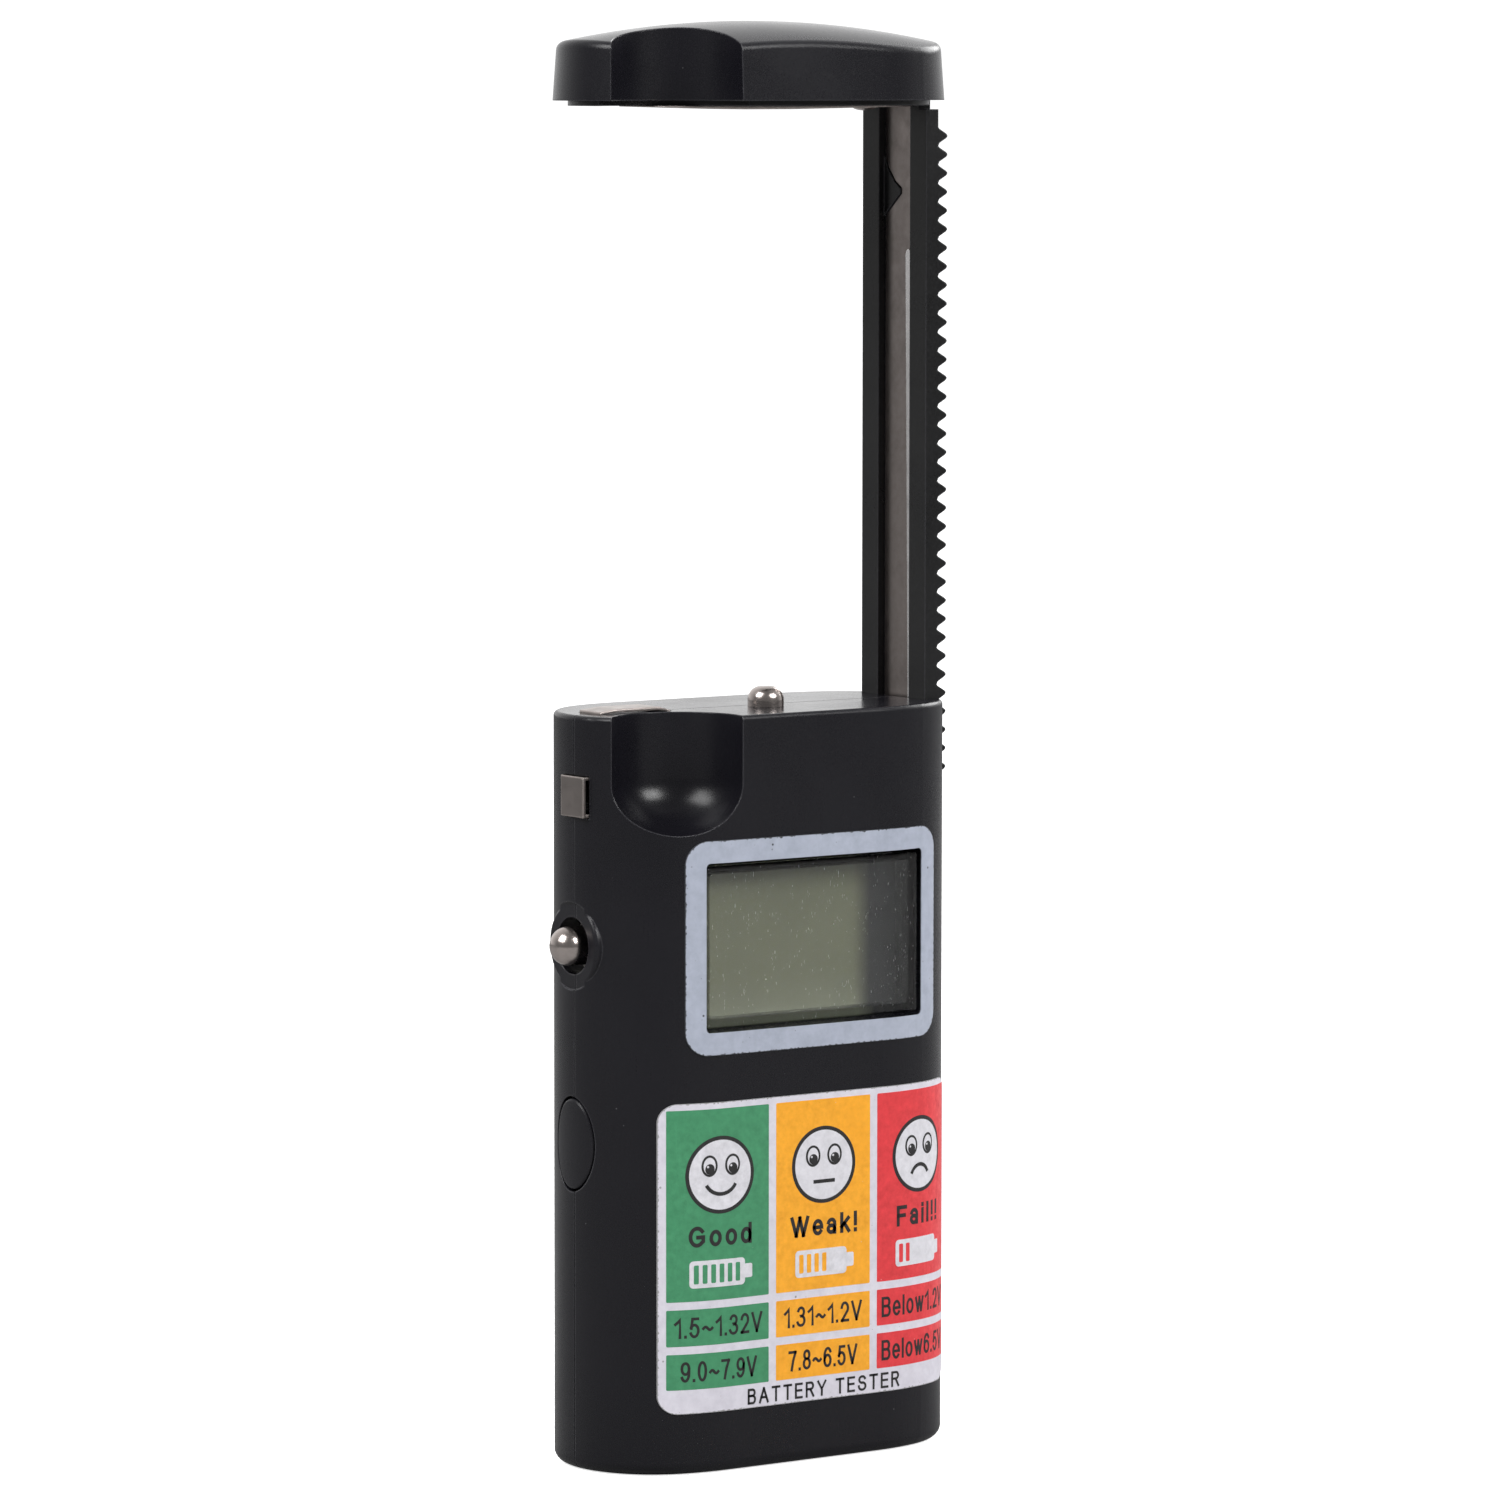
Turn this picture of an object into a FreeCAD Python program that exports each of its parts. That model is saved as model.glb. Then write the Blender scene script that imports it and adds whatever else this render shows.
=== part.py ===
"""Hand-held battery tester with a sliding contact arm.

Millimetres. +Z is up the body, the display faces -Y and the arm runs up the +X end.
The origin is the middle of the body's bottom face.  Every size is a cell of the sheet
"Sizes"; the arm is drawn pulled out to take the tallest cell.
"""
import FreeCAD, Part
import math
import os
import re
from Sketcher import Constraint

doc = FreeCAD.newDocument("battery_tester")

# ---------------------------------------------------------------- driving dimensions
SIZES = {
    # body: a flat-sided oval with a broad front arc and a tighter side arc at each corner
    "body_width": 46.2, "body_depth": 22, "body_height": 80.5,
    "front_radius": 20, "side_radius": 10.6,
    "wall": 1.6, "foot_round": 1.3, "rim_round": 0.5, "lip": 0.7,
    "seam": 0.14, "split_y": -0.65,
    # thumb groove: an upright cylinder that ends in half an ellipsoid
    "groove_x": -15.4, "groove_y": -9.1, "groove_radius": 7.1,
    "groove_bottom": 73.4, "groove_scoop": 5.4, "groove_wall": 1,
    # display
    "window_x": 1.1, "window_z": 56.05, "window_width": 28.4, "window_height": 18,
    "surround_width": 33.1, "surround_height": 22.8, "surround_round": 2.6,
    "film": 0.12, "lens_front": -10.25, "lens_flange": -7.6, "lens_back": -6.8,
    "lens_plate": 1.1, "lens_wall": 0.85, "lens_round": 0.3, "lens_gap": 0.38,
    "glass_thickness": 0.9, "reflector_thickness": 0.2, "glass_side": 15, "glass_ledge": 1.9,
    "board_front": -2.8, "board_thickness": 1.2, "board_low": 20, "board_high": 66.8,
    "board_left": -15.2, "board_right": 15.3,
    # front label
    "label_left": -18.2, "label_right": 20.9, "label_low": 6.6, "label_high": 39.7,
    "label_round": 2,
    # contacts
    "dome_y": -3, "dome_radius": 1.95, "dome_rise": 2.2, "rivet_radius": 1.2,
    "side_z": 56, "side_dome_radius": 2.1, "side_dome_length": 5.15, "side_inner": -20.2,
    "side_face": 22.85, "side_boss_radius": 4.55, "side_boss_round": 0.4,
    "side_hole_radius": 3.05, "side_moat": 0.12,
    "plate_y": -0.8, "plate_z": 71.95, "plate_width": 4.2,
    "plate_height": 4.3, "strip_thickness": 0.35, "leaf_width": 3.8,
    "leaf_left": -20.45, "leaf_right": -11.75,
    # test button
    "button_y": -0.2, "button_z": 34.9, "button_tall": 4.85, "button_wide": 3.2,
    "button_gap": 0.26, "button_round": 0.3, "button_seat": -20.05,
    # sliding arm, pulled out to its upper stop
    "arm_face": 19, "arm_width": 11.6, "arm_thickness": 1.6, "arm_low": 69.5,
    "channel_width": 5.7, "channel_depth": 1, "arm_gap": 0.15,
    "tooth_pitch": 2, "tooth_depth": 1.2, "tooth_count": 35, "first_tooth": 73.15,
    "shoulder_gap": 1, "shoulder_y": 4.3,
    "foot_neck": 3.2, "foot_head": 8.6, "foot_depth": 1.45, "foot_height": 5.5,
    "guide_wall": 1.4, "slot_low": 7.8, "slot_end": 21,
    # head
    "head_low": 145, "head_wall": 1.5, "head_top": 153.4, "head_ceiling": 149.2,
    "crown_long_radius": 122, "crown_cross_radius": 26, "crown_round": 0.9,
    "head_draft": 4,
    "base_rise": 0.55, "base_lap": 1.8, "keeper_z": 135.2,
    "rivet_x": 15, "plate_rivet_radius": 0.7,
    # screws
    "screw_side_x": 13.2, "screw_low_z": 9.5, "screw_top_x": 7, "screw_top_z": 73.2,
    "boss_radius": 2.4, "pilot_radius": 0.8, "screw_radius": 1, "screw_head_radius": 1.75,
    "screw_head_height": 1.3, "screw_sink": 2.2, "screw_length": 9, "boss_split": 4,
    "boss_reach": 9.6,
}

sheet = doc.addObject("Spreadsheet::Sheet", "Sizes")
for row, (alias, value) in enumerate(SIZES.items(), start=1):
    sheet.set(f"A{row}", alias)
    sheet.set(f"B{row}", str(value))
    sheet.setAlias(f"B{row}", alias)
doc.recompute()


# ---------------------------------------------------------------- helpers
def formula(text):
    """Turn alias words in a formula into references to the sheet."""
    return re.sub(r"[a-z_]+", lambda word: "Sizes." + word[0] if word[0] in SIZES else word[0],
                  str(text))


def bind(thing, **formulas):
    """Bind properties to formulas; x, y and z stand for the placement's base."""
    for name, text in formulas.items():
        target = "Placement.Base." + name if name in ("x", "y", "z") else name
        thing.setExpression(target, formula(text))
    return thing


AXES = {
    "x": FreeCAD.Rotation(FreeCAD.Vector(0, 1, 0), 90),
    "y": FreeCAD.Rotation(FreeCAD.Vector(1, 0, 0), -90),
    "z": FreeCAD.Rotation(),
}


def block(name, low, high):
    """A box between two corners, each given as three formulas."""
    box = doc.addObject("Part::Box", name)
    spans = [f"({b}) - ({a})" for a, b in zip(low, high)]
    return bind(box, x=low[0], y=low[1], z=low[2], Length=spans[0], Width=spans[1], Height=spans[2])


def rod(name, axis, base, radius, length):
    """A cylinder that starts at base and runs along +axis."""
    cylinder = doc.addObject("Part::Cylinder", name)
    cylinder.Placement.Rotation = AXES[axis]
    return bind(cylinder, x=base[0], y=base[1], z=base[2], Radius=radius, Height=length)


def ball(name, centre, radii):
    """An ellipsoid with radii along X, Y and Z."""
    solid = doc.addObject("Part::Ellipsoid", name)
    return bind(solid, x=centre[0], y=centre[1], z=centre[2],
                Radius2=radii[0], Radius3=radii[1], Radius1=radii[2])


def fuse(name, *pieces):
    joined = doc.addObject("Part::MultiFuse", name)
    joined.Shapes = list(pieces)
    joined.Refine = True
    return joined


def common(name, *pieces):
    shared = doc.addObject("Part::MultiCommon", name)
    shared.Shapes = list(pieces)
    return shared


def cut(name, base, *tools):
    remainder = doc.addObject("Part::Cut", name)
    remainder.Base = base
    remainder.Tool = tools[0] if len(tools) == 1 else fuse(name + "_tools", *tools)
    return remainder


def origin_item(body, role):
    return next(item for item in body.Origin.OriginFeatures if item.Role == role)


def new_body(name):
    return doc.addObject("PartDesign::Body", name)


def new_sketch(body, name, plane, offset=("0", "0", "0")):
    """A sketch on one of the body's own planes, moved by three formulas in that plane."""
    sketch = body.newObject("Sketcher::SketchObject", name)
    sketch.AttachmentSupport = [(origin_item(body, plane), "")]
    sketch.MapMode = "FlatFace"
    for axis, text in zip("xyz", offset):
        sketch.setExpression("AttachmentOffset.Base." + axis, formula(text))
    return sketch


def constrain(sketch, *definition, datum=None):
    """Add a constraint; a datum is a formula that drives its value."""
    if datum is None:
        return sketch.addConstraint(Constraint(*definition))
    value = eval_formula(datum)
    index = sketch.addConstraint(Constraint(*definition, value))
    sketch.setExpression(f"Constraints[{index}]", formula(datum))
    return index


def eval_formula(text):
    """The present value of a formula."""
    return float(sheet.evalExpression(formula(text)))


def pad(body, name, sketch, length, reversed_side=False):
    feature = body.newObject("PartDesign::Pad", name)
    feature.Profile = sketch
    feature.Reversed = reversed_side
    sketch.Visibility = False
    return bind(feature, Length=length)


def round_edges(body, name, base, test, radius):
    """Fillet the edges of a feature whose points all pass a test."""
    doc.recompute()
    names = []
    for index, edge in enumerate(base.Shape.Edges, start=1):
        points = edge.discretize(5)
        if all(test(point) for point in points):
            names.append(f"Edge{index}")
    feature = body.newObject("PartDesign::Fillet", name)
    feature.Base = (base, names)
    return bind(feature, Radius=radius)


def soften(name, base, radius, test):
    """Round the edges of a solid whose points all pass the test."""
    doc.recompute()
    rounded = doc.addObject("Part::Fillet", name)
    rounded.Base = base
    rounding = eval_formula(radius)
    rounded.Edges = [(index, rounding, rounding)
                     for index, edge in enumerate(base.Shape.Edges, start=1)
                     if all(test(point) for point in edge.discretize(5))]
    return rounded


def oval_outline(sketch, inset="0"):
    """The body's plan: two flats joined by front arcs and side arcs, moved in by inset."""
    depth = eval_formula(f"body_depth / 2 - ({inset})")
    big = eval_formula(f"front_radius - ({inset})")
    small = eval_formula(f"side_radius - ({inset})")
    side_x = eval_formula("body_width / 2 - side_radius")
    turn = math.acos((big - depth) / (big - small))
    flat = side_x - (big - small) * math.sin(turn)
    vector = FreeCAD.Vector
    up = vector(0, 0, 1)

    def arc(centre_x, centre_y, radius, start, end):
        circle = Part.Circle(vector(centre_x, centre_y, 0), up, radius)
        return sketch.addGeometry(Part.ArcOfCircle(circle, start, end))

    quarter = math.pi / 2
    front = sketch.addGeometry(Part.LineSegment(vector(-flat, -depth, 0), vector(flat, -depth, 0)))
    front_right = arc(flat, big - depth, big, -quarter, -quarter + turn)
    right = arc(side_x, 0, small, -quarter + turn, quarter - turn)
    back_right = arc(flat, depth - big, big, quarter - turn, quarter)
    back = sketch.addGeometry(Part.LineSegment(vector(flat, depth, 0), vector(-flat, depth, 0)))
    back_left = arc(-flat, depth - big, big, quarter, quarter + turn)
    left = arc(-side_x, 0, small, quarter + turn, 3 * quarter - turn)
    front_left = arc(-flat, big - depth, big, 3 * quarter - turn, 3 * quarter)
    loop = [front, front_right, right, back_right, back, back_left, left, front_left]
    for first, second in zip(loop, loop[1:] + loop[:1]):
        constrain(sketch, "Tangent", first, 2, second, 1)
    constrain(sketch, "Symmetric", front, 1, front, 2, -2)
    constrain(sketch, "Symmetric", back, 1, back, 2, -2)
    constrain(sketch, "Symmetric", front, 1, back, 2, -1)
    constrain(sketch, "DistanceY", front, 1, back, 2, datum=f"body_depth - 2 * ({inset})")
    for corner in (front_right, back_right, back_left, front_left):
        constrain(sketch, "Radius", corner, datum=f"front_radius - ({inset})")
    for end in (right, left):
        constrain(sketch, "Radius", end, datum=f"side_radius - ({inset})")
    constrain(sketch, "DistanceX", left, 3, right, 3, datum="body_width - 2 * side_radius")


def rounded_rectangle(sketch, width, height, radius):
    """A rectangle with round corners, centred on the sketch's own origin."""
    half_x, half_y = eval_formula(width) / 2, eval_formula(height) / 2
    turn = eval_formula(radius)
    vector = FreeCAD.Vector
    quarter = math.pi / 2
    inner_x, inner_y = half_x - turn, half_y - turn
    corners = [(inner_x, -inner_y, -quarter), (inner_x, inner_y, 0),
               (-inner_x, inner_y, quarter), (-inner_x, -inner_y, 2 * quarter)]
    ends = [((-inner_x, -half_y), (inner_x, -half_y)), ((half_x, -inner_y), (half_x, inner_y)),
            ((inner_x, half_y), (-inner_x, half_y)), ((-half_x, inner_y), (-half_x, -inner_y))]
    loop = []
    for (start, end), (x, y, angle) in zip(ends, corners):
        loop.append(sketch.addGeometry(Part.LineSegment(vector(*start, 0), vector(*end, 0))))
        circle = Part.Circle(vector(x, y, 0), vector(0, 0, 1), turn)
        loop.append(sketch.addGeometry(Part.ArcOfCircle(circle, angle, angle + quarter)))
    for first, second in zip(loop, loop[1:] + loop[:1]):
        constrain(sketch, "Tangent", first, 2, second, 1)
    low, low_right, right, high_right, high, high_left, left, low_left = loop
    for line in (low, high):
        constrain(sketch, "Horizontal", line)
    for line in (left, right):
        constrain(sketch, "Vertical", line)
    constrain(sketch, "Radius", low_right, datum=radius)
    for corner in (high_right, high_left, low_left):
        constrain(sketch, "Equal", low_right, corner)
    constrain(sketch, "Symmetric", low_left, 3, high_right, 3, -1, 1)
    constrain(sketch, "DistanceX", left, 1, right, 1, datum=width)
    constrain(sketch, "DistanceY", low, 1, high, 2, datum=height)


def polygon(sketch, *corners):
    """A closed outline of straight sides; each corner is two formulas."""
    points = [FreeCAD.Vector(eval_formula(x), eval_formula(y), 0) for x, y in corners]
    lines = [sketch.addGeometry(Part.LineSegment(a, b))
             for a, b in zip(points, points[1:] + points[:1])]
    for index, line in enumerate(lines):
        constrain(sketch, "Coincident", line, 2, lines[(index + 1) % len(lines)], 1)
    for line, (x, y) in zip(lines, corners):
        for kind, text in (("DistanceX", x), ("DistanceY", y)):
            if abs(eval_formula(text)) < 1e-9:
                axis = -2 if kind == "DistanceX" else -1
                constrain(sketch, "PointOnObject", line, 1, axis)
            else:
                constrain(sketch, kind, -1, 1, line, 1, datum=text)


def oval_prism(name, inset, low, high):
    """The body's plan, moved in by inset, between two heights."""
    body = new_body(name)
    sketch = new_sketch(body, name + "_plan", "XY_Plane", ("0", "0", low))
    oval_outline(sketch, inset)
    pad(body, name + "_pad", sketch, f"({high}) - ({low})")
    return body


def front_prism(name, centre, size, radius, front, back):
    """A round-cornered rectangle seen from the front, between two depths along Y."""
    body = new_body(name)
    sketch = new_sketch(body, name + "_outline", "XZ_Plane", (centre[0], centre[1], f"-({back})"))
    rounded_rectangle(sketch, size[0], size[1], radius)
    pad(body, name + "_pad", sketch, f"({back}) - ({front})")
    return body


def profile_prism(name, corners, low_y, high_y):
    """A straight-sided outline in X and Z, between two depths along Y."""
    body = new_body(name)
    sketch = new_sketch(body, name + "_outline", "XZ_Plane", ("0", "0", f"-({high_y})"))
    polygon(sketch, *corners)
    pad(body, name + "_pad", sketch, f"({high_y}) - ({low_y})")
    return body


NODES = {}


def node(label, thing):
    """Name the finished object after its sub-part and keep it for export."""
    thing.Label = label
    NODES[label] = thing
    return thing


# ---------------------------------------------------------------- case
def groove(name, extra, low_extra, top):
    """The thumb groove's form, grown by extra and closed at the bottom by its scoop."""
    radius = f"groove_radius + {extra}"
    shaft = rod(name + "_shaft", "z", ("groove_x", "groove_y", "groove_bottom"), radius,
                f"({top}) - groove_bottom")
    scoop = ball(name + "_scoop", ("groove_x", "groove_y", "groove_bottom"),
                 (radius, radius, f"groove_scoop + {low_extra}"))
    return fuse(name, shaft, scoop)


def make_case():
    """The whole hollow case with its openings, before it is split into two shells."""
    form = new_body("case_form")
    plan = new_sketch(form, "case_plan", "XY_Plane")
    oval_outline(plan)
    solid = pad(form, "case_pad", plan, "body_height")
    height = SIZES["body_height"]
    low_round = round_edges(form, "case_foot_round", solid, lambda p: p.z < 0.01, "foot_round")
    round_edges(form, "case_rim_round", low_round, lambda p: p.z > height - 0.01, "rim_round")

    side_rod = rod("side_rod", "x", ("-side_face", "0", "side_z"), "side_boss_radius", "4")
    outermost = -SIZES["side_face"] + 0.01
    side_boss = soften("side_boss", side_rod, "side_boss_round", lambda p: p.x < outermost)
    outside = cut("case_outside",
                  fuse("case_with_boss", form, side_boss),
                  groove("groove_cut", "0", "0", "body_height + 1"),
                  rod("side_spotface", "x", ("-side_face - 4", "0", "side_z"),
                      "side_boss_radius + side_moat", "4"))

    hollow = oval_prism("case_hollow", "wall", "wall", "body_height - wall")
    guide = block("guide_block", ("arm_face - arm_gap - guide_wall", "-arm_width / 2 - 1.6", "0"),
                  ("body_width", "arm_width / 2 + 1.6", "body_height"))
    room = cut("case_room", hollow, groove("groove_backing", "groove_wall", "groove_wall",
                                           "body_height"), guide,
               rod("side_seat", "x", ("-side_face", "0", "side_z"), "side_boss_radius + 0.6", "2.6"),
               front_prism("window_rib", ("window_x", "window_z"),
                           ("window_width + 3", "window_height + 3"), "1", "-body_depth",
                           "lens_flange - 0.05"))

    slot_side = "arm_width / 2 + arm_gap"
    arm_slot = block("arm_slot", ("arm_face - arm_gap", f"-({slot_side})", "slot_low"),
                     ("body_width", slot_side, "body_height + 1"))
    end_trim = block("end_trim", ("slot_end", "-body_depth", "slot_low"),
                     ("body_width", "body_depth", "body_height + 1"))
    slit = block("guide_slit", ("arm_face - 4", "-foot_neck / 2 - 0.2", "slot_low"),
                 ("arm_face", "foot_neck / 2 + 0.2", "body_height - wall"))
    window = front_prism("window_cut", ("window_x", "window_z"),
                         ("window_width", "window_height"), "0.5", "-body_depth", "-7.4")
    flange_room = front_prism("flange_room", ("window_x", "window_z"),
                              ("2 * glass_side + 0.3", "window_height + 2.3"), "0.5",
                              "lens_flange - 0.05", "-4")
    button_hole = oval_plug("button_hole", "button_gap", "-body_width", "-19")
    side_hole = rod("side_hole", "x", ("-body_width", "0", "side_z"), "side_hole_radius",
                    "body_width + side_inner")
    plate_side = "plate_width / 2 + 0.1"
    plate_tall = "plate_height / 2 + 0.1"
    plate_hole = block("plate_hole",
                       ("-body_width", f"plate_y - ({plate_side})", f"plate_z - ({plate_tall})"),
                       ("-20.2", f"plate_y + {plate_side}", f"plate_z + {plate_tall}"))
    leaf_holes = [block(f"leaf_hole_{side}",
                        (f"{x} - 0.35", "-leaf_width / 2 - 0.1", "body_height - 3"),
                        (f"{x} + 0.35", "leaf_width / 2 + 0.1", "body_height + 1"))
                  for side, x in (("left", "leaf_left"), ("right", "leaf_right"))]
    dome_hole = rod("dome_hole", "z", ("0", "dome_y", "body_height - 3"), "rivet_radius + 0.05",
                    "4")
    return cut("case", cut("case_shell", outside, room), arm_slot, end_trim, slit, window,
               flange_room, button_hole, side_hole, plate_hole, dome_hole, *leaf_holes)


def oval_plug(name, grow, low_x, high_x):
    """The test button's outline, grown all round, between two places along X."""
    ellipse = doc.addObject("Part::Ellipse", name + "_edge")
    ellipse.Placement.Rotation = AXES["x"]
    bind(ellipse, x=low_x, y="button_y", z="button_z",
         MajorRadius=f"button_tall + {grow}", MinorRadius=f"button_wide + {grow}")
    prism = doc.addObject("Part::Extrusion", name)
    prism.Base = ellipse
    prism.DirMode = "Custom"
    prism.Dir = FreeCAD.Vector(1, 0, 0)
    prism.Solid = True
    return bind(prism, LengthFwd=f"({high_x}) - ({low_x})")


SCREWS = [("-screw_side_x", "screw_low_z"), ("screw_side_x", "screw_low_z"),
          ("screw_top_x", "screw_top_z")]


def lip_frame(name, gap, depth):
    """The frame of wall that laps the seam, grown by gap and reaching depth behind it."""
    inner_x, low, high = "body_width / 2 - wall", "wall", "body_height - wall"
    outer = block(name + "_outer",
                  (f"-({inner_x}) - lip - {gap}", "split_y - 0.5", f"{low} - lip - {gap}"),
                  ("arm_face - 3", f"split_y + {depth}", f"{high} + lip + {gap}"))
    inner = block(name + "_inner", (f"-({inner_x}) + 0.1", "split_y - 1", low),
                  ("arm_face", "split_y + 3", high))
    return cut(name, outer, inner)


def make_shells(case):
    """Split the case near mid depth; the front shell keeps a lip that laps the rear one.

    Two stops behind the guide wall catch the arm's foot at the top of its travel.
    """
    front_half = block("front_half", ("-body_width", "-body_depth", "-1"),
                       ("body_width", "split_y - seam / 2", "body_height + 1"))
    rear_half = block("rear_half", ("-body_width", "split_y + seam / 2", "-1"),
                      ("body_width", "body_depth", "body_height + 1"))
    bosses, pilots, posts, shafts, sinks = [], [], [], [], []
    for index, (x, z) in enumerate(SCREWS, start=1):
        bosses.append(rod(f"boss_{index}", "y", (x, "-boss_reach", z), "boss_radius",
                          "boss_reach + boss_split"))
        pilots.append(rod(f"pilot_{index}", "y", (x, "-4", z), "pilot_radius", "14"))
        posts.append(rod(f"post_{index}", "y", (x, "boss_split", z), "boss_radius",
                         "boss_reach - boss_split"))
        shafts.append(rod(f"shaft_{index}", "y", (x, "0", z), "screw_radius + 0.15", "14"))
        sinks.append(rod(f"sink_{index}", "y", (x, "body_depth / 2 - screw_sink", z),
                         "screw_head_radius + 0.15", "4"))
    face = "arm_face - arm_gap - guide_wall"
    stop_low = "arm_low + foot_height + 0.15"
    front_stop, rear_stop = [
        block(f"{half}_stop", (f"{face} - foot_depth", near, stop_low),
              (f"{face} + 0.1", far, f"{stop_low} + 1.2"))
        for half, near, far in (("front", "-foot_head / 2", "-foot_neck / 2 - 0.4"),
                                ("rear", "foot_neck / 2 + 0.4", "foot_head / 2"))]
    front_solid = common("front_solid", case, front_half)
    lip = common("front_lip", lip_frame("lip_ring", "0", "1"), case)
    front_body = fuse("front_body", front_solid, lip, front_stop, *bosses)
    node("front_shell", cut("front_shell", front_body, *pilots))
    rear_solid = cut("rear_solid", common("rear_plain", case, rear_half),
                     lip_frame("lip_room", "0.1", "1.1"))
    rear_body = fuse("rear_body", rear_solid, rear_stop, *posts)
    node("rear_shell", cut("rear_shell", rear_body, *shafts, *sinks))


def make_screws():
    """Three identical self-tapping screws, driven in from the back."""
    screws = []
    seat = "body_depth / 2 - screw_sink"
    for index, (x, z) in enumerate(SCREWS, start=1):
        head = rod(f"screw_head_{index}", "y", (x, seat, z), "screw_head_radius",
                   "screw_head_height")
        shank = rod(f"screw_shank_{index}", "y", (x, f"{seat} - screw_length", z),
                    "pilot_radius", "screw_length")
        top = f"{seat} + screw_head_height"
        slots = [block(f"screw_slot_{index}_{way}",
                       (f"{x} - {wide}", f"{top} - 0.7", f"{z} - {tall}"),
                       (f"{x} + {wide}", f"{top} + 0.1", f"{z} + {tall}"))
                 for way, wide, tall in (("a", 1.1, 0.22), ("b", 0.22, 1.1))]
        screws.append(cut(f"screw_{index}", fuse(f"screw_blank_{index}", head, shank), *slots))
    node("case_screws", compound("case_screws", screws))


def compound(name, pieces):
    group = doc.addObject("Part::Compound", name)
    group.Links = pieces
    return group


# ---------------------------------------------------------------- display and label
def film_on_body(name, centre, size, radius):
    """A thin sheet that follows the body's curved front."""
    skin = cut(name + "_skin", oval_prism(name + "_over", "-film", "0", "body_height"),
               oval_prism(name + "_under", "0", "-1", "body_height + 1"))
    form = front_prism(name + "_form", centre, size, radius, "-body_depth", "-1")
    return common(name, skin, form)


def make_display():
    centre = ("window_x", "window_z")
    surround = film_on_body("surround", centre, ("surround_width", "surround_height"),
                            "surround_round")
    opening = front_prism("surround_opening", centre, ("window_width", "window_height"), "0.5",
                          "-body_depth", "0")
    node("display_surround", cut("display_surround", surround, opening))

    lens_width, lens_height = "window_width - 2 * lens_gap", "window_height - 2 * lens_gap"
    lens_front = front_prism("lens_window", centre, (lens_width, lens_height), "0.4",
                             "lens_front", "lens_back")
    face = SIZES["lens_front"]
    round_edges(lens_front, "lens_window_round", lens_front.Tip,
                lambda point: point.y < face + 0.01, "lens_round")
    hollow = front_prism("lens_hollow", centre,
                         (f"{lens_width} - 2 * lens_wall", f"{lens_height} - 2 * lens_wall"),
                         "0.4", "lens_front + lens_plate", "lens_back + 1")
    lens_rim = front_prism("lens_rim", centre, ("2 * glass_side", "window_height + 2"), "0.4",
                           "lens_flange", "lens_back")
    node("display_lens", cut("display_lens", fuse("lens_blank", lens_front, lens_rim), hollow))

    left, right = "window_x - glass_side", "window_x + glass_side"
    top = "window_z + window_height / 2 + 1"
    ledge = "window_z - window_height / 2 - 1"
    low = f"{ledge} - glass_ledge"
    middle, rear = "lens_back + glass_thickness", "lens_back + 2 * glass_thickness"
    node("lcd_front_glass",
         block("lcd_front_glass", (left, "lens_back", low), (right, middle, top)))
    node("lcd_rear_glass", block("lcd_rear_glass", (left, middle, ledge), (right, rear, top)))
    node("lcd_reflector",
         block("lcd_reflector", (f"{left} + 0.4", rear, f"{ledge} + 0.4"),
               (f"{right} - 0.4", f"{rear} + reflector_thickness", f"{top} - 0.4")))
    node("zebra_strip",
         block("zebra_strip", (f"{left} + 1.2", middle, f"{low} + 0.1"),
               ("board_right - 0.5", "board_front", f"{ledge} - 0.2")))

    outer = block("holder_outer", ("board_left", "lens_back + 0.1", f"{low} - 0.9"),
                  (f"{right} + 0.8", "board_front", f"{top} + 0.8"))
    inner = block("holder_inner", (f"{left} - 0.1", "lens_back - 1", f"{low} - 0.1"),
                  (f"{right} + 0.1", "board_front + 1", f"{top} + 0.1"))
    foot_way = block("holder_foot_way", ("board_right", "-foot_head / 2 - 0.3", "0"),
                     ("arm_face", "0", "body_height"))
    bar = block("holder_bar", (f"{left} - 0.2", f"{rear} + reflector_thickness", f"{ledge} + 0.1"),
                ("board_right - 0.4", "board_front", f"{top} + 0.2"))
    bar_window = block("holder_bar_window", (f"{left} + 1.2", "-9", f"{ledge} + 1.4"),
                       ("board_right - 1.8", "0", f"{top} - 1.2"))
    frame = fuse("holder_frame", cut("holder_ring", outer, inner),
                 cut("holder_rest", bar, bar_window))
    node("lcd_holder", cut("lcd_holder", frame, foot_way))


def make_label():
    centre = ("(label_left + label_right) / 2", "(label_low + label_high) / 2")
    size = ("label_right - label_left", "label_high - label_low")
    node("front_label", film_on_body("front_label", centre, size, "label_round"))


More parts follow.
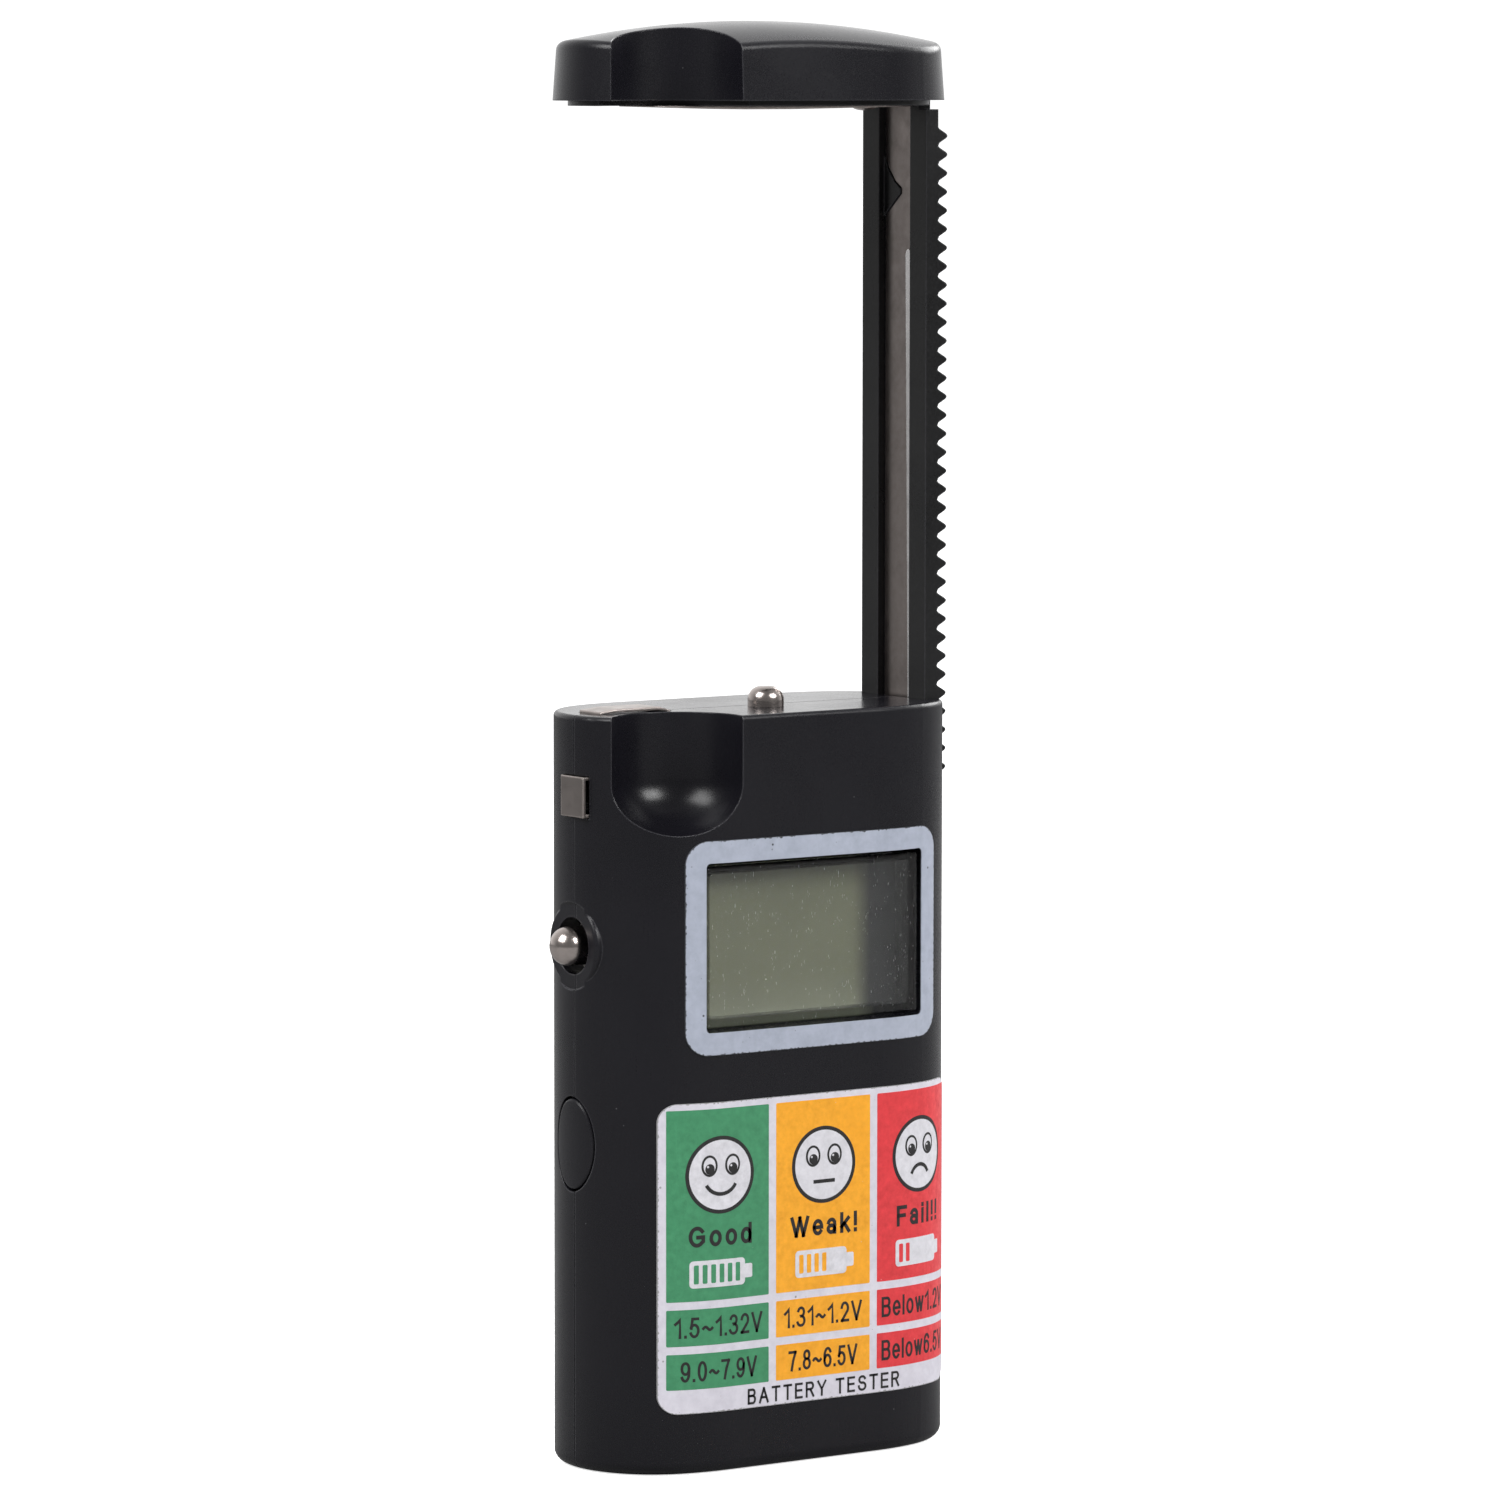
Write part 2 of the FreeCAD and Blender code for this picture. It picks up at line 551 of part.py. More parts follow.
# ---------------------------------------------------------------- electronics
def make_board():
    back = "board_front + board_thickness"
    centre = ("(board_left + board_right) / 2", "(board_low + board_high) / 2")
    size = ("board_right - board_left", "board_high - board_low")
    node("circuit_board", front_prism("circuit_board", centre, size, "0.8", "board_front", back))
    chip = [block("chip_body", ("-4", back, "42"), ("4", f"{back} + 1.6", "50"))]
    for index in range(8):
        low = f"42.6 + {index} * 0.95"
        chip.append(block(f"chip_leg_{index}", ("-5.2", back, low),
                          ("5.2", f"{back} + 0.5", f"{low} + 0.4")))
    node("control_chip", fuse("control_chip", *chip))
    parts = [block("load_resistor", ("-8", back, "24"), ("-1", f"{back} + 2.2", "27.5"))]
    for index in range(6):
        low = f"24 + {index} * 2.6"
        parts.append(block(f"resistor_{index}", ("4", back, low),
                           ("7.2", f"{back} + 0.6", f"{low} + 1.6")))
    node("board_components", compound("board_components", parts))

    housing = block("switch_housing", ("-17.6", "button_y - 2.3", "button_z - 3"),
                    ("-14", "button_y + 2.3", "button_z + 3"))
    bore = rod("switch_bore", "x", ("-18", "button_y", "button_z"), "1.3", "2.8")
    board_way = block("switch_board_way", ("board_left - 0.05", "board_front - 0.05", "30"),
                      ("0", back, "40"))
    node("push_switch", cut("push_switch", housing, bore, board_way))


def make_button():
    """The oval test button with its flange, and the switch plunger that it pushes."""
    blank = common("button_blank", oval_plug("button_plug", "0", "-body_width",
                                             "button_seat + 0.2"),
                   oval_prism("button_skin", "-0.05", "0", "body_height"))
    inside = SIZES["button_seat"] - 0.4
    cap = soften("button_cap", blank, "button_round", lambda p: p.x < inside)
    flange = oval_plug("button_flange", "0.7", "button_seat", "button_seat + 0.65")
    stem = rod("button_stem", "x", ("button_seat + 0.5", "button_y", "button_z"), "1.6", "0.85")
    node("test_button", fuse("test_button", cap, flange, stem))
    node("switch_plunger", rod("switch_plunger", "x", ("-18.7", "button_y", "button_z"), "1.15",
                               "2.4"))


# ---------------------------------------------------------------- contacts
def stud(name, plane, centre, start, length, radius, end_round):
    """A round stud that stands on a plane's offset, with its far end rounded over."""
    body = new_body(name)
    sketch = new_sketch(body, name + "_circle", plane, (centre[0], centre[1], start))
    circle = sketch.addGeometry(Part.Circle(FreeCAD.Vector(), FreeCAD.Vector(0, 0, 1),
                                            eval_formula(radius)))
    constrain(sketch, "Coincident", circle, 3, -1, 1)
    constrain(sketch, "Radius", circle, datum=radius)
    reversed_side = eval_formula(length) < 0
    solid = pad(body, name + "_pad", sketch, f"abs({length})", reversed_side)
    end = eval_formula(f"({start}) + ({length})")
    along = "z" if plane == "XY_Plane" else "x"
    round_edges(body, name + "_round", solid,
                lambda point: abs(getattr(point, along) - end) < 0.001, end_round)
    return body


def make_domes():
    """The riveted dome contacts on the top and on the side, with the pieces that hold them."""
    top, under = "body_height", "body_height - wall"
    dome = stud("top_dome", "XY_Plane", ("0", "dome_y"), top, "dome_rise", "dome_radius",
                "dome_radius - 0.5")
    shank = rod("dome_shank", "z", ("0", "dome_y", f"{under} - 1.4"), "rivet_radius", "wall + 1.6")
    tail = rod("dome_tail", "z", ("0", "dome_y", f"{under} - 0.9"), "1.9", "0.5")
    node("top_dome_contact", fuse("top_dome_contact", dome, shank, tail))
    disc = rod("washer_disc", "z", ("0", "dome_y", f"{under} - 0.4"), "2.6", "0.4")
    hole = rod("washer_hole", "z", ("0", "dome_y", f"{under} - 1"), "rivet_radius + 0.02", "2")
    node("dome_washer", cut("dome_washer", disc, hole))

    button = stud("side_dome", "YZ_Plane", ("0", "side_z"), "side_inner", "-side_dome_length",
                  "side_dome_radius", "side_dome_radius - 0.05")
    rivet = rod("side_shank", "x", ("side_inner - 0.5", "0", "side_z"), "rivet_radius", "2.6")
    node("side_dome_contact", fuse("side_dome_contact", button, rivet))
    plate = rod("side_plate_disc", "x", ("side_inner", "0", "side_z"), "side_boss_radius", "1.2")
    eye = rod("side_plate_hole", "x", ("side_inner - 1", "0", "side_z"), "rivet_radius + 0.02", "3")
    node("side_contact_plate", cut("side_contact_plate", plate, eye))


def make_strips():
    """The bent negative strip at the top left, and the wiper that feeds the arm's strip."""
    top, thick = "body_height", "strip_thickness"
    left, right = "leaf_left", "leaf_right"
    low = f"{top} - 2.6"
    leaf = profile_prism("leaf", [
        (f"{left} - {thick} / 2", low), (f"{left} + {thick} / 2", low),
        (f"{left} + {thick} / 2", f"{top} + 0.02"), (f"{left} + 2.2", f"{top} + 0.17"),
        (f"{right} - 1.6", f"{top} + 0.17"), (f"{right} - {thick} / 2", f"{top} + 0.02"),
        (f"{right} - {thick} / 2", low), (f"{right} + {thick} / 2", low),
        (f"{right} + {thick} / 2", f"{top} + 0.1"), (f"{right} - 1.3", f"{top} + 0.52"),
        (f"{left} + 2.1", f"{top} + 0.52"), (f"{left} - {thick} / 2", f"{top} + 0.28")],
        "-leaf_width / 2", "leaf_width / 2")
    drop = block("strip_drop", (f"{left} - {thick} / 2", "-leaf_width / 2", "plate_z - 1"),
                 (f"{left} + {thick} / 2", "leaf_width / 2", f"{top} - 2"))
    near, far = "plate_y - plate_width / 2", "plate_y + plate_width / 2"
    base, crest = "plate_z - plate_height / 2", "plate_z + plate_height / 2"
    out = "-body_width / 2 - 0.32"
    plate = block("strip_plate", (out, near, base), (f"{out} + {thick}", far, crest))
    arms = [block(f"strip_arm_{index}", (out, near, level),
                  (f"{left} + {thick} / 2", far, f"{level} + {thick}"))
            for index, level in enumerate((base, f"{crest} - {thick}"))]
    node("negative_strip", fuse("negative_strip", leaf, drop, plate, *arms))

    under = "body_height - wall"
    node("arm_wiper", profile_prism("arm_wiper", [
        ("11", f"{under} - 0.25"), ("18", f"{under} - 0.25"), ("19.3", f"{under} - 1.35"),
        ("18.4", f"{under} - 2.2"), ("18.65", f"{under} - 2.35"), ("19.6", f"{under} - 1.4"),
        ("18.2", under), ("11", under)], "-1.2", "1.7"))


def make_leads():
    """Insulated wires from the contacts to the board: straight runs with round elbows."""
    height = SIZES["body_height"]
    board_back = SIZES["board_front"] + SIZES["board_thickness"]
    routes = {
        "lead_dome": [(0, SIZES["dome_y"], height - 3.5), (0, SIZES["dome_y"], height - 8),
                      (0, 1.2, height - 11.5), (0, 1.2, height - 16)],
        "lead_side": [(-17.6, 0, SIZES["side_z"]), (-14.5, 1.2, SIZES["side_z"]),
                      (-11.5, 1.2, SIZES["side_z"])],
        "lead_wiper": [(12.5, 0, height - 2.3), (12.5, 1.2, height - 6.5),
                       (12.5, 1.2, height - 15.5)],
    }
    solids = []
    for name, points in routes.items():
        places = [FreeCAD.Vector(*point) for point in points]
        places.append(FreeCAD.Vector(places[-1].x, board_back + 0.05, places[-1].z))
        pieces = []
        for start, end in zip(places, places[1:]):
            run = end - start
            pieces.append(Part.makeCylinder(0.45, run.Length, start, run))
            pieces.append(Part.makeSphere(0.45, start))
        wire = doc.addObject("Part::Feature", name)
        wire.Shape = pieces[0].multiFuse(pieces[1:])
        solids.append(wire)
    node("contact_leads", compound("contact_leads", solids))


# ---------------------------------------------------------------- sliding arm and head
def profile_side(name, corners, low_x, high_x):
    """A straight-sided outline in Y and Z, between two places along X."""
    body = new_body(name)
    sketch = new_sketch(body, name + "_outline", "YZ_Plane", ("0", "0", low_x))
    polygon(sketch, *corners)
    pad(body, name + "_pad", sketch, f"({high_x}) - ({low_x})")
    return body


def make_rail():
    """The arm's channel section with its rack of grip teeth."""
    rail = new_body("arm_rail")
    section = new_sketch(rail, "arm_section", "XY_Plane", ("0", "0", "arm_low"))
    side, floor, back = "arm_width / 2", "arm_face + channel_depth", "arm_face + arm_thickness"
    polygon(section, ("arm_face", f"-{side}"), (back, f"-{side}"), (back, side),
            ("arm_face", side), ("arm_face", "channel_width / 2"), (floor, "channel_width / 2"),
            (floor, "-channel_width / 2"), ("arm_face", "-channel_width / 2"))
    pad(rail, "arm_pad", section, "head_low - arm_low")
    outline = new_sketch(rail, "tooth_outline", "XZ_Plane", ("0", "0", f"-{side}"))
    half = "tooth_pitch / 2 - 0.08"
    # one flank of a tooth as shares of its depth and pitch, from the root to the rounded tip
    flank = ((0.12, 0.38), (0.5, 0.25), (0.86, 0.13), (1, 0.045))
    below = [(f"{back} + {share} * tooth_depth", f"first_tooth - {place} * tooth_pitch")
             for share, place in flank]
    above = [(x, z.replace("first_tooth -", "first_tooth +")) for x, z in reversed(below)]
    polygon(outline, (f"{back} - 0.3", f"first_tooth - {half}"), (back, f"first_tooth - {half}"),
            *below, *above, (back, f"first_tooth + {half}"),
            (f"{back} - 0.3", f"first_tooth + {half}"))
    tooth = pad(rail, "tooth", outline, "arm_width")
    doc.recompute()
    rack = rail.newObject("PartDesign::LinearPattern", "rack")
    rack.Originals = [tooth]
    rack.Direction = (origin_item(rail, "Z_Axis"), [""])
    bind(rack, Length="tooth_pitch * (tooth_count - 1)", Occurrences="tooth_count")
    rail.Tip = rack
    return rail


def make_arm():
    """The arm, its guide foot and the head's base plate, moulded in one piece."""
    high = "arm_low + foot_height"
    inner_face = "arm_face - arm_gap - guide_wall"
    neck = block("foot_neck", (f"{inner_face} - 0.3", "-foot_neck / 2", "arm_low"),
                 ("arm_face + channel_depth + 0.2", "foot_neck / 2", high))
    foot = block("foot_block", (f"{inner_face} - 0.15 - foot_depth", "-foot_head / 2", "arm_low"),
                 (f"{inner_face} - 0.15", "foot_head / 2", high))
    base = cut("head_base", oval_prism("base_plate", "head_wall + 0.1", "head_low - base_rise",
                                       "head_low + base_lap"),
               groove("base_groove", "head_wall + 0.1", "head_wall + 0.1", "head_top"),
               rod("base_rivet_hole", "z", ("rivet_x", "0", "head_low - base_rise - 1"),
                   "plate_rivet_radius", "6"))
    keeper_side = "channel_width / 2 + 0.2"
    keeper = profile_side("strip_keeper", [
        (keeper_side, "keeper_z + 4"), ("2.25", "keeper_z + 2.4"), ("1", "keeper_z + 0.95"),
        ("-0.1", "keeper_z + 0.25"), ("-0.1", "keeper_z - 0.25"), ("1.4", "keeper_z - 1.5"),
        (keeper_side, "keeper_z - 2.9")],
        "arm_face + channel_depth - 0.28", "arm_face + channel_depth + 0.2")
    shoulders = [
        block(f"shoulder_{side}", ("arm_face - 1", low, "head_low - shoulder_gap"),
              ("arm_face + arm_thickness + 1", high, "head_low"))
        for side, low, high in (("front", "-arm_width", "-shoulder_y"),
                                ("rear", "shoulder_y", "arm_width"))]
    rail = cut("arm_shouldered", make_rail(), *shoulders)
    node("slide_arm", fuse("slide_arm", rail, neck, foot, base, keeper))


def make_head():
    """The domed shell over the base plate; its crown is a patch of a large torus."""
    crown = doc.addObject("Part::Torus", "crown")
    crown.Placement.Rotation = AXES["y"]
    bind(crown, z="head_top - crown_long_radius",
         Radius1="crown_long_radius - crown_cross_radius", Radius2="crown_cross_radius")
    blank = oval_prism("head_blank", "0", "head_low", "head_top + 1")
    bind(blank.Tip, TaperAngle="-head_draft")
    room = cut("head_room", oval_prism("head_hollow", "head_wall", "head_low - 1", "head_ceiling"),
               groove("head_backing", "head_wall", "head_wall", "head_top"))
    above = SIZES["head_low"] + 1
    form = soften("head_rounded", common("head_form", blank, crown), "crown_round",
                  lambda p: p.z > above)
    node("head_shell", cut("head_shell", form, room,
                           groove("head_groove", "0", "0", "head_top + 1")))


def make_arm_metal():
    """The strip along the channel's floor and the bowed plate under the head."""
    floor, thick = "arm_face + channel_depth", "0.15"
    half = "channel_width / 2 - 0.15"
    start = "arm_low + foot_height + 0.3"
    strip = block("strip_flat", (f"{floor} - {thick}", f"-({half})", start),
                  (floor, half, "head_low - base_rise"))
    fold = profile_side("strip_fold", [
        (f"-({half})", start), (f"-({half}) + 0.4", start), ("-1.65", "keeper_z - 7"),
        ("-1.8", "keeper_z - 6.4"), ("-2.2", "keeper_z - 6.2"), (f"-({half})", "keeper_z - 6.6")],
        f"{floor} - 0.7", floor)
    notch = profile_side("strip_notch", [
        ("channel_width / 2 + 0.3", "keeper_z + 4.3"), ("2.15", "keeper_z + 2.5"),
        ("0.9", "keeper_z + 1.05"), ("-0.2", "keeper_z + 0.35"), ("-0.2", "keeper_z - 0.35"),
        ("1.3", "keeper_z - 1.6"), ("channel_width / 2 + 0.3", "keeper_z - 3.1")],
        "arm_face", "arm_face + 2")
    rest = "head_low - base_rise"
    tab = block("strip_tab", ("arm_face - 0.1", f"-({half})", f"{rest} - {thick}"),
                (floor, half, rest))
    node("arm_contact_strip",
         cut("arm_contact_strip", fuse("strip_blank", strip, fold, tab), notch))

    bow = profile_prism("plate_bow", [
        ("-14.5", rest), ("-14.5", f"{rest} - 0.1"), ("-9", f"{rest} - 0.25"),
        ("-3", f"{rest} - 0.4"), ("3", f"{rest} - 0.4"), ("10", f"{rest} - 0.3"),
        ("arm_face - 0.1", f"{rest} - 0.15"), ("arm_face - 0.1", rest)], "-3.4", "3.4")
    head = ball("plate_rivet_head", ("rivet_x", "0", f"{rest} - 0.2"), ("1.3", "1.3", "0.4"))
    under_plate = block("rivet_head_room", ("rivet_x - 2", "-2", f"{rest} - 1"),
                        ("rivet_x + 2", "2", f"{rest} - 0.2"))
    shank = rod("plate_rivet_shank", "z", ("rivet_x", "0", f"{rest} - 0.2"),
                "plate_rivet_radius", "base_lap + base_rise + 0.5")
    rivet = fuse("plate_rivet", common("rivet_head", head, under_plate), shank)
    node("plate_rivet", rivet)
    node("head_contact_plate", cut("head_contact_plate", bow, rivet))


# ---------------------------------------------------------------- build and write
make_shells(make_case())
make_screws()
make_display()
make_label()
make_board()
make_button()
make_domes()
make_strips()
make_leads()
make_arm()
make_head()
make_arm_metal()
doc.recompute()

for item in doc.Objects:
    if "Invalid" in item.State or "Error" in item.State:
        raise RuntimeError(f"{item.Label} did not build: {item.State}")
for label, item in NODES.items():
    if item.Shape.isNull() or not item.Shape.isValid() or not item.Shape.Solids:
        raise RuntimeError(f"{label} has no valid solid")

os.makedirs("parts", exist_ok=True)
for label, item in NODES.items():
    item.Shape.exportStep(f"parts/{label}.step")
    box = item.Shape.BoundBox
    print(f"{label:20s} {len(item.Shape.Solids)} solid(s) {item.Shape.Volume:9.1f} mm3  "
          f"{box.XMin:.2f}..{box.XMax:.2f} {box.YMin:.2f}..{box.YMax:.2f} "
          f"{box.ZMin:.2f}..{box.ZMax:.2f}")
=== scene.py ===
import math

import bmesh
import bpy
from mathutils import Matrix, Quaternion, Vector


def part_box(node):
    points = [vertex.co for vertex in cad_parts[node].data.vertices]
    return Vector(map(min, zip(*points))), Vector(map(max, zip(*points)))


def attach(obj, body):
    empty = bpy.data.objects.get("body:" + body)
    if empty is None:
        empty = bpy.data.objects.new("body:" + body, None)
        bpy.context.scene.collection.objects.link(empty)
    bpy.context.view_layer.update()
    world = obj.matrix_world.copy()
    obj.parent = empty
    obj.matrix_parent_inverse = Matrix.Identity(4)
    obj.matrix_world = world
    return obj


# A hand-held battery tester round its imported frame, in metres: +Z up the case, the display
# faces -Y and the toothed arm runs up the +X end.  Helpers that draw the label and the
# materials take millimetres, because every detail on them is under a few millimetres.
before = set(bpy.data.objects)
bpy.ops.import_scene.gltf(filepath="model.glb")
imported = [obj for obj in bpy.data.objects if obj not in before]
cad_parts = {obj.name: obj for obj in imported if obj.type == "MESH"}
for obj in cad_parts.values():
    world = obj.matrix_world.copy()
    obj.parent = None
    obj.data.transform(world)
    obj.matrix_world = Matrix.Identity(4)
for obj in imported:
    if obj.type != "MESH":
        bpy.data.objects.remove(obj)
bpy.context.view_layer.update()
MM = 0.001


# ---------------------------------------------------------------- material helpers
class Finish:
    """A material under construction: one Principled shader and short ways to feed it."""

    def __init__(self, name, **fixed):
        self.material = bpy.data.materials.new(name)
        self.material.use_nodes = True
        self.tree = self.material.node_tree
        self.shader = self.tree.nodes["Principled BSDF"]
        for socket, value in fixed.items():
            self.shader.inputs[socket.replace("_", " ")].default_value = value
        self.place = self.add("ShaderNodeTexCoord").outputs["Object"]

    def add(self, kind, inputs=(), **settings):
        """A node with its settings, and with inputs given as (socket, value or source)."""
        node = self.tree.nodes.new(kind)
        for name, value in settings.items():
            setattr(node, name, value)
        for socket, value in inputs:
            self.feed(node.inputs[socket], value)
        return node

    def feed(self, socket, value):
        """Give a socket a value, or link it to the output of another node."""
        if isinstance(value, bpy.types.NodeSocket):
            self.tree.links.new(value, socket)
        else:
            socket.default_value = value

    def drive(self, socket, source):
        """Let a texture drive one of the shader's inputs."""
        self.feed(self.shader.inputs[socket], source)

    def stretched(self, factors, turn=0.0):
        """The object's coordinates, turned about Y and stretched along each axis."""
        return self.add("ShaderNodeMapping", [("Vector", self.place), ("Scale", factors),
                                              ("Rotation", (0, turn, 0))]).outputs[0]

    def noise(self, grain, detail=2.0, roughness=0.5, place=None):
        """Noise from 0 to 1 whose blotches are about grain millimetres across."""
        return self.add("ShaderNodeTexNoise", [
            ("Vector", place or self.place), ("Scale", 1 / (grain * MM)),
            ("Detail", detail), ("Roughness", roughness)]).outputs["Fac"]

    def cells(self, size):
        """Distance to the nearest of a scatter of points about size millimetres apart."""
        return self.add("ShaderNodeTexVoronoi", [
            ("Vector", self.place), ("Scale", 1 / (size * MM))]).outputs["Distance"]

    def span(self, source, low, high, out_low=0.0, out_high=1.0):
        """Source mapped from one range to another and held inside it."""
        return self.add("ShaderNodeMapRange", [
            ("Value", source), ("From Min", low), ("From Max", high), ("To Min", out_low),
            ("To Max", out_high)]).outputs["Result"]

    def sum(self, first, second, operation="ADD"):
        """Two values added, or combined by another operation."""
        return self.add("ShaderNodeMath", [(0, first), (1, second)],
                        operation=operation).outputs[0]

    def faint(self, mask, share):
        """A mask weakened to a share of itself."""
        return self.sum(mask, share, "MULTIPLY")

    def either(self, first, second):
        """The stronger of two masks."""
        return self.sum(first, second, "MAXIMUM")

    def axis(self, letter, source=None):
        """One coordinate of the object's own space, or of another vector."""
        return self.add("ShaderNodeSeparateXYZ", [(0, source or self.place)]).outputs[letter]

    def blend(self, share, first, second):
        """A colour between two colours."""
        node = self.add("ShaderNodeMix", data_type="RGBA")
        for index, value in ((0, share), (6, first), (7, second)):
            if isinstance(value, tuple) and len(value) == 3:
                value = (*value, 1)
            self.feed(node.inputs[index], value)
        return node.outputs[2]

    def dust(self, spread, size):
        """Specks about spread millimetres apart, in patches: 1 on a speck, 0 elsewhere.

        size is a speck's radius as a share of the spread.
        """
        patches = self.span(self.noise(spread * 2.3, 0), 0.5, 0.56)
        return self.sum(self.span(self.cells(spread), size, size * 0.6), patches, "MULTIPLY")

    def scratches(self, width, length, turn):
        """Thin hairlines along one direction, in patches: 1 on a line, 0 elsewhere."""
        place = self.stretched((1 / width, 1 / width, 1 / length), turn)
        lines = self.span(self.noise(1, 1, place=place), 0.70, 0.74)
        patches = self.span(self.noise(length * 1.4, 0), 0.52, 0.6)
        return self.sum(lines, patches, "MULTIPLY")

    def sharp_edge(self, radius):
        """Where the surface turns sharply within radius millimetres, and the rounded normal."""
        rounded = self.add("ShaderNodeBevel", [("Radius", radius * MM)], samples=4).outputs[0]
        plain = self.add("ShaderNodeNewGeometry").outputs["Normal"]
        facing = self.add("ShaderNodeVectorMath", [(0, rounded), (1, plain)],
                          operation="DOT_PRODUCT").outputs["Value"]
        return self.span(facing, 0.995, 0.90), rounded

    def upward(self):
        """1 where the surface faces straight up, where handling has polished it; 0 elsewhere."""
        normal = self.add("ShaderNodeNewGeometry").outputs["Normal"]
        return self.span(self.axis("Z", normal), 0.9, 0.99)

    def bump(self, height, depth, strength=1.0, normal=None):
        """A normal from a height map whose full range is depth millimetres."""
        inputs = [("Height", height), ("Distance", depth * MM), ("Strength", strength)]
        if normal is not None:
            inputs.append(("Normal", normal))
        return self.add("ShaderNodeBump", inputs).outputs["Normal"]


def grey(level, tint=0.0):
    """A linear grey, more violet with a larger tint."""
    return level, level * (1 - tint / 8), level * (1 + tint)


def scaled(colour, share, lift=0.0):
    """A colour made darker or lighter by a share, then lifted."""
    return tuple(min(1, channel * share + lift) for channel in colour)


# ---------------------------------------------------------------- materials
LENS_FLANGE = 0.8       # width of the lens's edge that the case hides
LENS_CORNER = 0.4
DISPLAY_PAINTED_SHADE = (7.6, 5.4)       # where the display turns dark with painted shade, from its right end
DISPLAY_PAINTED_LIGHT = (8, 3)           # where the display turns pale with painted light, from its foot
STRIP_FOLD = 19.6       # X left of which the arm's strip is folded over and catches the light
LEAF_PAINTED_SHADE = 76       # Z below which the leaf spring is darkened with painted shade


def moulded_plastic(name, dark, light, gloss, rough, grain=0.16, depth=0.008):
    """Satin moulded plastic: spark grain, cloudy gloss, dust, hairlines, rubbed edges with a
    painted highlight.

    dark and light are the two colours of the clouds, gloss and rough their two roughnesses.
    """
    finish = Finish(name, IOR=1.36)
    edge, rounded = finish.sharp_edge(0.22)
    clouds = finish.noise(14, 4)
    fine = finish.noise(grain, 3, 0.6)
    dust = finish.dust(2.6, 0.035)
    hairs = finish.either(finish.scratches(0.07, 5, 0.6), finish.scratches(0.06, 4, -0.9))
    body = finish.blend(clouds, dark, light)
    body = finish.blend(finish.span(fine, 0.55, 0.8, 0, 0.35), body, grey(light[0] * 2.2, 0.1))
    # partly painted highlight: sharp edges lightened, partly as rubbed wear and partly as the light
    # they catch
    body = finish.blend(finish.faint(edge, 0.6), body, grey(0.10, 0.1))
    body = finish.blend(finish.faint(dust, 0.5), body, grey(0.16, 0.05))
    finish.drive("Base Color", body)
    matte = finish.span(clouds, 0.3, 0.7, gloss, rough)
    matte = finish.sum(matte, finish.span(fine, 0.3, 0.7, -0.04, 0.05))
    for rubbed, polish in ((edge, 0.1), (hairs, 0.07), (finish.upward(), 0.12)):
        matte = finish.sum(matte, finish.faint(rubbed, polish), "SUBTRACT")
    finish.drive("Roughness", matte)
    grained = finish.bump(fine, depth, 0.55, rounded)
    finish.drive("Normal", finish.bump(hairs, 0.004, -0.4, grained))
    return finish.material


def plated_metal(name, tint, gloss, rough, brushed=0.0, turn=0.0, fold_polish_and_highlight=None,
                 shaded_below=None, soft=0.12):
    """Nickel plate or zinc: fine brushing, cloudy polish and dull spots.

    gloss and rough are the two roughnesses of the clouds, brushed how strong the brushing
    is and turn its slant.  fold_polish_and_highlight is the X below which the metal is polished
    and lightened with a painted highlight, where its edge is folded over, and shaded_below is the
    Z below which it is darkened with painted shade.  soft is how far its edges are rounded.
    """
    finish = Finish(name, Metallic=1.0)
    edge, rounded = finish.sharp_edge(soft)
    clouds = finish.noise(1.6, 4, 0.6)
    spots = finish.dust(0.7, 0.07)
    colour = finish.blend(finish.span(clouds, 0.3, 0.75), tint, scaled(tint, 0.72))
    colour = finish.blend(finish.faint(spots, 0.6), colour, scaled(tint, 0.35))
    if shaded_below is not None:
        # painted shade: the metal darkened below this height
        painted_dim = finish.span(finish.axis("Z"), (shaded_below + 1) * MM, (shaded_below - 1) * MM)
        colour = finish.blend(painted_dim, colour, scaled(tint, 0.5))
    # painted highlight: the metal's sharp edges lightened as a bright rim
    colour = finish.blend(finish.faint(edge, 0.6), colour, scaled(tint, 1.6))
    matte = finish.span(clouds, 0.25, 0.8, gloss, rough)
    if fold_polish_and_highlight is not None:
        fold = finish.span(finish.axis("X"), (fold_polish_and_highlight + 0.03) * MM, (fold_polish_and_highlight - 0.03) * MM)
        # painted highlight: the folded lip whitened where it catches the light
        colour = finish.blend(fold, colour, (0.86, 0.84, 0.84))
        matte = finish.sum(matte, finish.faint(fold, 0.1), "SUBTRACT")
    finish.drive("Base Color", colour)
    finish.drive("Roughness", matte)
    lines = finish.noise(0.05, 2, 0.5, finish.stretched((1, 1, 0.05), turn))
    pits = finish.noise(0.22, 2)
    normal = finish.bump(pits, 0.006, 0.35, rounded)
    finish.drive("Normal", finish.bump(lines, 0.002, brushed, normal))
    return finish.material


def inside_box(finish, node, radius, inset=0.0):
    """How far inside a part's outline in X and Z a point is, in millimetres.

    radius is that of the outline's corners, and inset how far the outline is moved in.
    """
    low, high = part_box(node)
    reach = []
    for axis in "xz":
        start, end = getattr(low, axis) + inset * MM, getattr(high, axis) - inset * MM
        middle, half = (start + end) / 2, (end - start) / 2 - radius * MM
        away = finish.sum(finish.axis(axis.upper()), middle, "SUBTRACT")
        away = finish.sum(away, 0.0, "ABSOLUTE")
        reach.append(finish.sum(away, half, "SUBTRACT"))
    outside = [finish.either(side, 0.0) for side in reach]
    squares = finish.sum(finish.sum(outside[0], 2.0, "POWER"), finish.sum(outside[1], 2.0, "POWER"))
    corner = finish.sum(squares, 0.5, "POWER")
    within = finish.sum(finish.either(*reach), 0.0, "MINIMUM")
    signed = finish.sum(corner, within)
    return finish.sum(radius, finish.sum(signed, 1 / MM, "MULTIPLY"), "SUBTRACT")


